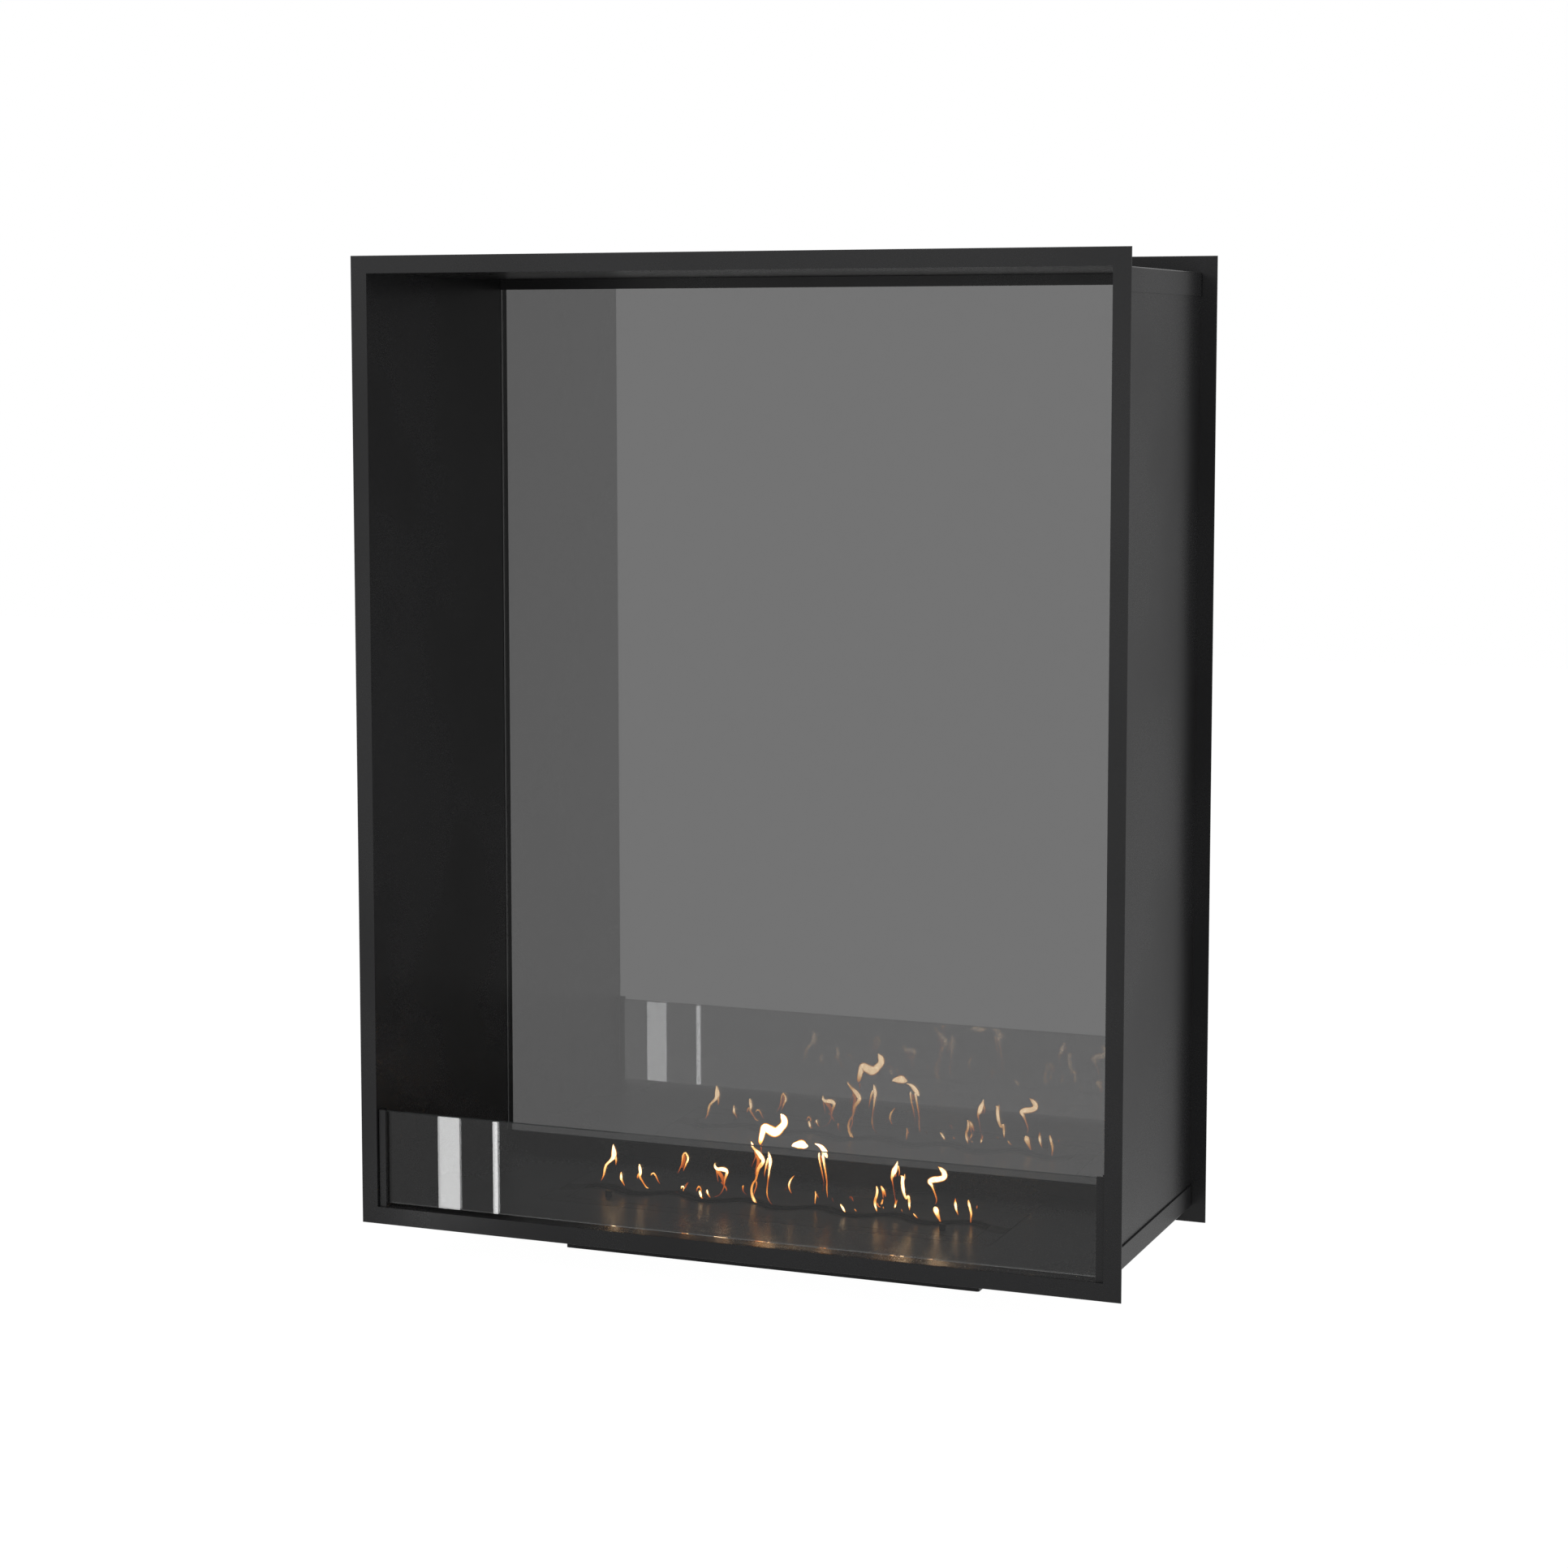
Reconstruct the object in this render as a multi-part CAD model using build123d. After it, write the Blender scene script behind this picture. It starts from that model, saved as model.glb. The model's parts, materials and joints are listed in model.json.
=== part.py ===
from build123d import *
from math import cos, pi
import os

# A see-through bioethanol fireplace that is built into a wall: a thin sheet-steel firebox between
# two flat frames, a flush burner in its floor, a low guard pane in front and a full pane behind.
#
# Millimetres. +X is to the right seen from the front, +Y runs from the front to the back, +Z is up.
# The origin is the middle of the outline on plan, at the level of the tank's underside, which is
# the lowest point.

os.makedirs("parts", exist_ok=True)

# ------------------------------------------------------------------ casing
opening_width = 900.0  # clear width of the fire opening
opening_height = 1109.0  # clear height of the fire opening
casing_depth = 369.5  # front of the front frame to back of the rear frame
frame_face = 20.5  # how far each frame laps outside the opening
frame_thickness = 2.0
frame_edge_round = 0.6
panel_thickness = 1.2  # side panels
pan_thickness = 1.2  # top pan
pan_return = 27.4  # depth of the top pan's folded sides
floor_sheet = 1.5  # base tray and burner plate are cut from the same sheet
tray_return = 26.0  # height of the base tray's folded sides
tray_return_gap = 0.6  # shadow gap between a folded side and the side panel
bend_radius = 2.0  # outside radius of a fold
fold_setback = 3.0  # folded sides stop this far short of the frames

# ------------------------------------------------------------------ rear pane
rear_pane_thickness = 6.0
rear_pane_setback = 19.3  # back of the casing to the pane's front surface
rear_pane_side_gap = 0.5  # pane to side panel
channel_wall = 1.2  # header and bottom rail
channel_end_gap = 0.5  # channel to side panel
channel_foot = 8.5  # riveted foot behind the channel
rail_height = 17.8
header_height = 12.5
seal_wall = 1.0  # seal beside the pane
seal_floor = 2.8  # seal under and over the pane's edge
seal_recess = 0.6  # how far a seal stays below the channel's edge
rivet_shank_radius = 1.6
rivet_head_radius = 3.0
rivet_head_height = 1.1
rivet_tail_radius = 2.3
rivet_tail_height = 1.6
rivet_hole_clearance = 0.1
rivet_count = 5
rivet_end_inset = 45.0

# ------------------------------------------------------------------ front guard pane and its posts
guard_thickness = 6.0
guard_height = 111.0
guard_air_gap = 4.0  # floor to the pane's lower edge
guard_clearance = 0.3  # pane to each wall of its slot
edge_strip_thickness = 1.0
edge_strip_end_gap = 0.3
post_setback = 4.0  # front of the casing to the front of a post
post_wall_gap = 1.2  # post to side panel
post_width = 8.5
post_front_wall = 4.4
post_web = 1.8
post_rear_wall = 1.5
post_rear_lap = 4.3  # how far the rear wall reaches, from the outer side
post_rise = 2.5  # post above the pane's top
post_pad_thickness = 1.2
screw_radius = 2.0
screw_head_radius = 3.7
screw_head_height = 2.6
screw_clearance = 0.2  # radial, in the tray and the pad
screw_seat_clearance = 0.05  # radial, in the post
screw_tip_recess = 0.3

# ------------------------------------------------------------------ burner
plate_length = 571.0
plate_width = 149.8
burner_gap = 1.0  # groove between the burner plate and the floor
pocket_side_margin = 25.75  # burner plate beside the lid
pocket_front_margin = 19.15  # burner plate in front of the lid
slot_width = 21.0  # flame slot, front to back
wave_amplitude = 10.6
wave_period = 94.0
wave_crest_x = -238.0  # where a wave of the slot is furthest back
wave_steps = 8  # points on the slot's curve in each wave
deck_thickness = 1.5
deck_lip = 1.0  # deck showing inside each edge of the flame slot
deck_slot_end = 4.75  # deck showing at each end of the flame slot
support_lap = 6.0  # ledge under the burner plate's edge
deck_clearance = 1.5  # deck to ledge
support_sheet = 1.5
support_weld_lap = 12.0  # support frame under the floor, outside its cut-out
support_height = 10.0
support_foot = 15.0  # width of the support frame's foot, which stands on the sill

# ------------------------------------------------------------------ shutter lid and knobs
lid_groove = 0.8  # lid to burner plate, at the sides and in front
lid_running_gap = 0.2  # lid to deck
knob_radius = 3.75
knob_height = 8.0
knob_round = 0.6
knob_end_inset = 46.25  # knob's axis to the end of the lid's pocket
knob_front_inset = 20.2  # knob's axis to the lid's front edge
spigot_radius = 2.0
spigot_clearance = 0.05

# ------------------------------------------------------------------ tanks and filling
tray_depth = 61.2  # overflow tray, deck to underside
tray_inset = 14.5  # overflow tray inside the deck's edge
tray_wall = 1.0
tray_corner_radius = 3.0
tank_gap = 3.0  # overflow tray to fuel tank, at the sides
tank_wall = 1.0
tank_rim_gap = 4.2  # fuel tank's rim to deck
spacer_height = 3.0
spacer_size = 20.0
spacer_end_inset = 60.0
wool_depth = 42.0
wool_clearance = 0.3
grid_thickness = 1.0
grid_hole_radius = 3.0
grid_pitch = 13.0
grid_rows = 5
grid_columns = 37

# ------------------------------------------------------------------ levels and planes
deck_underside = tray_depth
deck_top = deck_underside + deck_thickness
floor_level = deck_top + floor_sheet
floor_underside = floor_level - floor_sheet
ceiling = floor_level + opening_height
ceiling_top = ceiling + pan_thickness
half_opening = opening_width / 2
half_depth = casing_depth / 2
body_front = -half_depth + frame_thickness
body_back = half_depth - frame_thickness
through_frames = (-half_depth, half_depth)

# Right-hand faces; the left side mirrors them
panel_outside = half_opening + panel_thickness
pan_outside = panel_outside + pan_thickness
tray_inside = panel_outside + tray_return_gap
tray_outside = tray_inside + floor_sheet

# Burner rectangles, half sizes along X and Y
plate_half = (plate_length / 2, plate_width / 2)
cut_out_half = (plate_half[0] + burner_gap, plate_half[1] + burner_gap)
ledge_half = (plate_half[0] - support_lap, plate_half[1] - support_lap)
deck_half = (ledge_half[0] - deck_clearance, ledge_half[1] - deck_clearance)
overflow_half = (deck_half[0] - tray_inset, deck_half[1] - tray_inset)
pocket_end = plate_half[0] - pocket_side_margin
pocket_front = -plate_half[1] + pocket_front_margin
lid_end = pocket_end - lid_groove
lid_front = pocket_front + lid_groove
knob_x = pocket_end - knob_end_inset
knob_y = lid_front + knob_front_inset


# ------------------------------------------------------------------ shared shapes
def block(x_span, y_span, z_span):
    """A box from its low and high coordinate on each axis."""
    size = [high - low for low, high in (x_span, y_span, z_span)]
    corner = (x_span[0], y_span[0], z_span[0])
    return Pos(*corner) * Box(*size, align=Align.MIN)


def slab(half_sizes, z_span):
    """A box centred on the Z axis, from its half sizes along X and Y."""
    half_x, half_y = half_sizes
    return block((-half_x, half_x), (-half_y, half_y), z_span)


def grown(half_sizes, amount):
    return (half_sizes[0] + amount, half_sizes[1] + amount)


def rod(x, y, radius, z_span):
    """An upright cylinder from its axis, radius and low and high level."""
    low, high = z_span
    foot = (Align.CENTER, Align.CENTER, Align.MIN)
    return Pos(x, y, low) * Cylinder(radius, high - low, align=foot)


def mirrored(shape):
    return mirror(shape, about=Plane.YZ)


def evenly(count, half_length):
    """Places along a line that is centred on zero."""
    return [half_length * (2 * index / (count - 1) - 1) for index in range(count)]


def wave_y(x):
    """The middle of the flame slot at a given x."""
    return wave_amplitude * cos(2 * pi * (x - wave_crest_x) / wave_period)


def wavy_plate(half_length, straight_y, wave_offset, z_span):
    """A plate with one straight edge, two straight ends and one edge that follows the wave."""
    steps = max(2, round(2 * half_length / wave_period * wave_steps))
    along = [half_length * (2 * index / steps - 1) for index in range(steps + 1)]
    wavy_edge = Spline(*[(x, wave_y(x) + wave_offset) for x in along])
    straight_edges = Polyline(
        wavy_edge @ 1,
        (half_length, straight_y),
        (-half_length, straight_y),
        wavy_edge @ 0,
    )
    low, high = z_span
    return Pos(0, 0, low) * extrude(make_face(wavy_edge + straight_edges), high - low)


def wavy_strip(half_length, front_offset, back_offset, z_span):
    """The strip between two wavy lines."""
    far_front = -plate_half[1]
    to_back_line = wavy_plate(half_length, far_front, back_offset, z_span)
    to_front_line = wavy_plate(half_length, far_front, front_offset, z_span)
    return to_back_line - to_front_line


# ------------------------------------------------------------------ casing
def flat_frame(y_span, shown_y):
    """A flat sheet that the casing's sheets run through, flush with the face that shows.

    They are welded into its opening and ground, and its outer edge is eased.
    """
    outer = (half_opening + frame_face, ceiling + frame_face, floor_level - frame_face)
    sheet = block((-outer[0], outer[0]), y_span, (outer[2], outer[1]))
    shown_face = sheet.faces().sort_by(Axis.Y)[-1 if shown_y > 0 else 0]
    sheet = fillet(shown_face.edges(), min(frame_edge_round, frame_thickness / 2))
    z_span = (floor_underside, ceiling_top)
    return sheet - block((-panel_outside, panel_outside), y_span, z_span)


def side_panel():
    return block((half_opening, panel_outside), through_frames, (floor_level, ceiling))


def folded_sheet(outside, inside, flat_span, hollow_span, folded_face):
    """A sheet with both sides folded, from the outside and the inside of its section.

    Its folded sides stop short of the frames, and its flat part runs on through them.
    """
    reach = body_back - fold_setback
    z_span = (min(flat_span + hollow_span), max(flat_span + hollow_span))
    sheet = block((-outside, outside), (-reach, reach), z_span)
    folds = sheet.faces().sort_by(Axis.Z)[folded_face].edges().filter_by(Axis.Y)
    sheet = fillet(folds, bend_radius)
    sheet -= block((-inside, inside), (-reach, reach), hollow_span)
    for y_span in ((-half_depth, -reach), (reach, half_depth)):
        sheet += block((-panel_outside, panel_outside), y_span, flat_span)
    return sheet


def top_pan():
    flat_span = (ceiling, ceiling_top)
    pan = folded_sheet(
        pan_outside, panel_outside, flat_span, (ceiling_top - pan_return, ceiling), -1
    )
    for x in evenly(rivet_count, rivet_half_span):
        pan -= rod(x, rivet_y, rivet_shank_radius + rivet_hole_clearance, flat_span)
    return pan


def base_tray():
    flat_span = (floor_underside, floor_level)
    tray = folded_sheet(
        tray_outside, tray_inside, flat_span, (floor_level, floor_underside + tray_return), 0
    )
    tray -= slab(cut_out_half, flat_span)
    for side in (-1, 1):
        tray -= rod(side * post_screw_x, post_screw_y, screw_radius + screw_clearance, flat_span)
    for x in evenly(rivet_count, rivet_half_span):
        tray -= rod(x, rivet_y, rivet_shank_radius + rivet_hole_clearance, flat_span)
    return tray


def burner_support_frame():
    """A C-section frame under the floor's cut-out: the burner plate lies on its ledge.

    Its foot stands on the sill round the tank.
    """
    outer = grown(cut_out_half, support_weld_lap)
    low = floor_underside - support_height
    frame = slab(outer, (low, floor_underside))
    frame -= slab(grown(outer, -support_sheet), (low + support_sheet, floor_underside - support_sheet))
    frame -= slab(ledge_half, (floor_underside - support_sheet, floor_underside))
    return frame - slab(grown(outer, -support_foot), (low, low + support_sheet))


# ------------------------------------------------------------------ rear pane
pane_front = half_depth - rear_pane_setback
pane_back = pane_front + rear_pane_thickness
slot_front = pane_front - seal_wall
slot_back = pane_back + seal_wall
channel_end = half_opening - channel_end_gap
foot_back = slot_back + channel_wall + channel_foot
rivet_y = foot_back - channel_foot / 2
rivet_half_span = channel_end - rivet_end_inset
pane_low = floor_level + channel_wall + seal_floor
pane_high = ceiling - channel_wall - seal_floor


def rear_pane():
    end = half_opening - rear_pane_side_gap
    return block((-end, end), (pane_front, pane_back), (pane_low, pane_high))


def channel(web_z, lip_z, foot_z):
    """A U-channel for the pane's edge, with a foot behind it for rivets."""
    end = (-channel_end, channel_end)
    z_span = (min(web_z, lip_z), max(web_z, lip_z))
    inner_z_span = (min(foot_z, lip_z), max(foot_z, lip_z))
    foot_span = (min(web_z, foot_z), max(web_z, foot_z))
    outer = block(end, (slot_front - channel_wall, slot_back + channel_wall), z_span)
    section = outer - block(end, (slot_front, slot_back), inner_z_span)
    section += block(end, (slot_back + channel_wall, foot_back), foot_span)
    for x in evenly(rivet_count, rivet_half_span):
        section -= rod(x, rivet_y, rivet_shank_radius + rivet_hole_clearance, foot_span)
    return section


def rear_rail():
    return channel(floor_level, floor_level + rail_height, floor_level + channel_wall)


def rear_header():
    return channel(ceiling, ceiling - header_height, ceiling - channel_wall)


def pane_seal(web_z, edge_z, lip_z):
    """A U-shaped seal between the pane's edge and its channel."""
    end = (-channel_end, channel_end)
    z_span = (min(web_z, lip_z), max(web_z, lip_z))
    inner_z_span = (min(edge_z, lip_z), max(edge_z, lip_z))
    outer = block(end, (slot_front, slot_back), z_span)
    return outer - block(end, (pane_front, pane_back), inner_z_span)


def rail_seal():
    lip = floor_level + rail_height - seal_recess
    return pane_seal(floor_level + channel_wall, pane_low, lip)


def header_seal():
    lip = ceiling - header_height + seal_recess
    return pane_seal(ceiling - channel_wall, pane_high, lip)


def rivet(x, sheets_z_span, head_up):
    """A blind rivet: a domed head on the foot and a set tail behind the sheet."""
    low, high = sheets_z_span
    head_span = (high, high + rivet_head_height) if head_up else (low - rivet_head_height, low)
    tail_span = (low - rivet_tail_height, low) if head_up else (high, high + rivet_tail_height)
    head = rod(x, rivet_y, rivet_head_radius, head_span)
    dome_edge = head.edges().sort_by(Axis.Z)[-1 if head_up else 0]
    head = fillet(dome_edge, rivet_head_height * 0.8)
    shank = rod(x, rivet_y, rivet_shank_radius, sheets_z_span)
    tail = rod(x, rivet_y, rivet_tail_radius, tail_span)
    return head + shank + tail


def rivets(sheets_z_span, head_up):
    return Compound([rivet(x, sheets_z_span, head_up) for x in evenly(rivet_count, rivet_half_span)])


def rail_rivets():
    return rivets((floor_underside, floor_level + channel_wall), True)


def header_rivets():
    return rivets((ceiling - channel_wall, ceiling_top), False)


# ------------------------------------------------------------------ front guard pane and its posts
post_outer = half_opening - post_wall_gap
post_inner = post_outer - post_width
post_front = -half_depth + post_setback
guard_slot = (
    post_front + post_front_wall,
    post_front + post_front_wall + guard_thickness + 2 * guard_clearance,
)
guard_y = (guard_slot[0] + guard_clearance, guard_slot[1] - guard_clearance)
guard_low = floor_level + guard_air_gap
guard_high = guard_low + guard_height
guard_end = post_outer - post_web - edge_strip_end_gap - edge_strip_thickness
post_low = floor_level + post_pad_thickness
post_high = guard_high + post_rise
post_back = guard_slot[1] + post_rear_wall
post_screw_x = post_outer - post_width / 2
post_screw_y = (guard_slot[0] + guard_slot[1]) / 2


def glass_post():
    """A post milled with a blind slot that the guard pane drops into."""
    post = block((post_inner, post_outer), (post_front, post_back), (post_low, post_high))
    post -= block((post_inner, post_outer - post_web), guard_slot, (guard_low, post_high))
    open_side = (post_inner, post_outer - post_rear_lap)
    post -= block(open_side, (guard_slot[1], post_back), (guard_low, post_high))
    seat_radius = screw_radius + screw_seat_clearance
    return post - rod(post_screw_x, post_screw_y, seat_radius, (post_low, guard_low))


def post_pad():
    z_span = (floor_level, post_low)
    pad = block((post_inner, post_outer), (post_front, post_back), z_span)
    return pad - rod(post_screw_x, post_screw_y, screw_radius + screw_clearance, z_span)


def post_screw():
    head_span = (floor_underside - screw_head_height, floor_underside)
    shank_span = (floor_underside, guard_low - screw_tip_recess)
    head = rod(post_screw_x, post_screw_y, screw_head_radius, head_span)
    head = fillet(head.edges().sort_by(Axis.Z)[0], screw_head_height / 3)
    socket_span = (head_span[0], head_span[0] + screw_head_height / 2)
    socket = extrude(RegularPolygon(screw_radius * 0.8, 6), screw_head_height / 2)
    head -= Pos(post_screw_x, post_screw_y, socket_span[0]) * socket
    return head + rod(post_screw_x, post_screw_y, screw_radius, shank_span)


def front_guard_pane():
    return block((-guard_end, guard_end), guard_y, (guard_low, guard_high))


def edge_strip():
    return block((guard_end, guard_end + edge_strip_thickness), guard_y, (guard_low, guard_high))


# ------------------------------------------------------------------ burner
def burner_top_plate():
    """The plate that shows round the lid, with its pocket cut to the flame slot's rear edge."""
    z_span = (deck_top, floor_level)
    pocket = wavy_plate(pocket_end, pocket_front, slot_width / 2, z_span)
    return slab(plate_half, z_span) - pocket


def burner_deck():
    """The plate under the lid, with the flame slot through it."""
    z_span = (deck_underside, deck_top)
    reach = slot_width / 2 - deck_lip
    slot = wavy_strip(pocket_end - deck_slot_end, -reach, reach, z_span)
    return slab(deck_half, z_span) - slot


def shutter_lid():
    z_span = (deck_top + lid_running_gap, floor_level)
    lid = wavy_plate(lid_end, lid_front, -slot_width / 2, z_span)
    for side in (-1, 1):
        lid -= rod(side * knob_x, knob_y, spigot_radius + spigot_clearance, z_span)
    return lid


def knob():
    head = rod(knob_x, knob_y, knob_radius, (floor_level, floor_level + knob_height))
    head = fillet(head.edges().sort_by(Axis.Z)[-1], knob_round)
    return head + rod(knob_x, knob_y, spigot_radius, (deck_top + lid_running_gap, floor_level))


def open_box(half_sizes, wall, corner_radius, z_span):
    """A tank without a lid."""
    shell = slab(half_sizes, z_span)
    shell = fillet(shell.edges().filter_by(Axis.Z), corner_radius)
    hollow = slab(grown(half_sizes, -wall), (z_span[0] + wall, z_span[1]))
    hollow = fillet(hollow.edges().filter_by(Axis.Z), corner_radius - wall)
    return shell - hollow


def overflow_tray():
    return open_box(overflow_half, tray_wall, tray_corner_radius, (0, deck_underside))


tank_half = grown(overflow_half, -tray_wall - tank_gap)
tank_low = tray_wall + spacer_height
tank_rim = deck_underside - tank_rim_gap
filling_half = grown(tank_half, -tank_wall - wool_clearance)
wool_low = tank_low + tank_wall
wool_high = wool_low + wool_depth


def fuel_tank():
    return open_box(tank_half, tank_wall, tray_corner_radius, (tank_low, tank_rim))


def tank_spacers():
    """Four pads that carry the fuel tank in the overflow tray."""
    x = tank_half[0] - spacer_end_inset
    y = tank_half[1] - spacer_size
    spacer = slab((spacer_size / 2, spacer_size / 2), (tray_wall, tank_low))
    return Compound([Pos(side * x, end * y, 0) * spacer for side in (-1, 1) for end in (-1, 1)])


def ceramic_wool():
    wool = slab(filling_half, (wool_low, wool_high))
    return fillet(wool.edges().filter_by(Axis.Z), tray_corner_radius)


def wool_grid():
    """The perforated sheet that keeps the wool down."""
    z_span = (wool_high, wool_high + grid_thickness)
    sheet = slab(filling_half, z_span)
    sheet = fillet(sheet.edges().filter_by(Axis.Z), tray_corner_radius)
    hole = rod(0, 0, grid_hole_radius, z_span)
    columns = evenly(grid_columns, grid_pitch * (grid_columns - 1) / 2)
    rows = evenly(grid_rows, grid_pitch * (grid_rows - 1) / 2)
    return sheet - [Pos(x, y, 0) * hole for x in columns for y in rows]


# ------------------------------------------------------------------ the sub-parts
nodes = {
    "front_frame": flat_frame((-half_depth, body_front), -1),
    "rear_frame": flat_frame((body_back, half_depth), 1),
    "left_side_panel": mirrored(side_panel()),
    "right_side_panel": side_panel(),
    "top_pan": top_pan(),
    "base_tray": base_tray(),
    "burner_support_frame": burner_support_frame(),
    "rear_pane": rear_pane(),
    "rear_header": rear_header(),
    "rear_rail": rear_rail(),
    "header_seal": header_seal(),
    "rail_seal": rail_seal(),
    "header_rivets": header_rivets(),
    "rail_rivets": rail_rivets(),
    "left_glass_post": mirrored(glass_post()),
    "right_glass_post": glass_post(),
    "left_post_pad": mirrored(post_pad()),
    "right_post_pad": post_pad(),
    "left_post_screw": mirrored(post_screw()),
    "right_post_screw": post_screw(),
    "front_guard_pane": front_guard_pane(),
    "left_edge_strip": mirrored(edge_strip()),
    "right_edge_strip": edge_strip(),
    "burner_top_plate": burner_top_plate(),
    "burner_deck": burner_deck(),
    "shutter_lid": shutter_lid(),
    "left_knob": mirrored(knob()),
    "right_knob": knob(),
    "overflow_tray": overflow_tray(),
    "tank_spacers": tank_spacers(),
    "fuel_tank": fuel_tank(),
    "ceramic_wool": ceramic_wool(),
    "wool_grid": wool_grid(),
}

for name, shape in nodes.items():
    export_step(shape, f"parts/{name}.step")
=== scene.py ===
"""Looks of the see-through bioethanol fireplace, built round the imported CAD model.

Metres, in the CAD's frame: +X is to the right seen from the front, +Y runs to the back, +Z is up.
"""

import json
from math import atan, pi, radians

import bpy
from mathutils import Matrix, Vector


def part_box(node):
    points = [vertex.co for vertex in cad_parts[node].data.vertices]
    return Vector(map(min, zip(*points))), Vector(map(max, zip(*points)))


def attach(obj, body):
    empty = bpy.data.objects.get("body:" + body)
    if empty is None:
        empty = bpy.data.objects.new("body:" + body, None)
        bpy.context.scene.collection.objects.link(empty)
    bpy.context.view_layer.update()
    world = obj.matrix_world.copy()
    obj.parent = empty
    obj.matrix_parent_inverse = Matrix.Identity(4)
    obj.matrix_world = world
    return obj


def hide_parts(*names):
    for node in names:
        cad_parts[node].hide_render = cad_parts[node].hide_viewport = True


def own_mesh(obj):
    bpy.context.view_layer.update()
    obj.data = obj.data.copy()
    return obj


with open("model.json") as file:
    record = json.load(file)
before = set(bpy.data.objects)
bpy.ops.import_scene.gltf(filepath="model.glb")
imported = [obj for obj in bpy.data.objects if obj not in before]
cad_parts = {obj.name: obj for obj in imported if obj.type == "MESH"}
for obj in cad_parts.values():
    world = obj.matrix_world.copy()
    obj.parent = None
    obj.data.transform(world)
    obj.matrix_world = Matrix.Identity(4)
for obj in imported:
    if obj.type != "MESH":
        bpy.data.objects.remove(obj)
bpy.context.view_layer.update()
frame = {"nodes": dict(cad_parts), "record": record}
bpy.context.scene.view_settings.view_transform = "Standard"

MM = 0.001


# ---------------------------------------------------------------- colours and nodes
def linear(hex_colour):
    """An sRGB hex colour as the linear RGBA that a socket takes."""
    channels = [int(hex_colour[start:start + 2], 16) / 255 for start in (1, 3, 5)]
    shown = [c / 12.92 if c <= 0.04045 else ((c + 0.055) / 1.055) ** 2.4 for c in channels]
    return shown + [1.0]


WHITE = linear("#FFFFFF")


def add_node(tree, kind, inputs=None, **settings):
    """Adds a node. Its inputs, by name or index, are values, or the nodes or sockets that feed them.

    A node feeds the first of its outputs that is switched on.
    """
    node = tree.nodes.new(kind)
    for name, value in settings.items():
        setattr(node, name, value)
    for name, value in (inputs or {}).items():
        if isinstance(value, bpy.types.Node):
            value = next(output for output in value.outputs if output.enabled)
        if isinstance(value, bpy.types.NodeSocket):
            tree.links.new(value, node.inputs[name])
        else:
            node.inputs[name].default_value = value
    return node


def new_material(name):
    """An empty material, its node tree and the piece's own coordinates."""
    material = bpy.data.materials.new(name)
    material.use_nodes = True
    tree = material.node_tree
    tree.nodes.clear()
    place = add_node(tree, "ShaderNodeTexCoord").outputs["Object"]
    return material, tree, place


# Where a colour mix node takes its factor and its two colours.
FACTOR, DARK, LIGHT = 0, 6, 7

# ---------------------------------------------------------------- coats on steel
COAT_IOR = 1.5
COAT_DRIFT = 220 * MM  # the length over which a coat's shade and gloss wander
DRIFT_SHARE = 0.6  # how much of the change is this wandering; the fine grain is the rest

# Soot and painted shade at the burner's slot: its black, its dullness, how thick it lies right beside
# the slot, how far it reaches from there, and the size of its clouds. On the slot's cut edges this
# black is painted shade from inside the slot. Beside the slot it is soot with painted shade.
SOOT_AND_SHADE = linear("#040404")
SOOT_AND_SHADE_ROUGHNESS = 0.97
SOOT_AND_SHADE_BREATH = 0.55
SOOT_AND_SHADE_REACH = 9 * MM
SOOT_AND_SHADE_CLOUD = 12 * MM

# The flame slot, as the burner's plate and lid are cut: the top face, the deck's underside, the
# wave that its middle line follows, and half its width.
PLATE_TOP = 64.2 * MM
DECK_UNDERSIDE = 61.2 * MM
WAVE_HEIGHT = 10.6 * MM
WAVE_LENGTH = 94.0 * MM
WAVE_START = 238.0 * MM
HALF_SLOT = 10.5 * MM
HAIR = 0.1 * MM  # a face this close under a level still counts as lying at it


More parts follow.
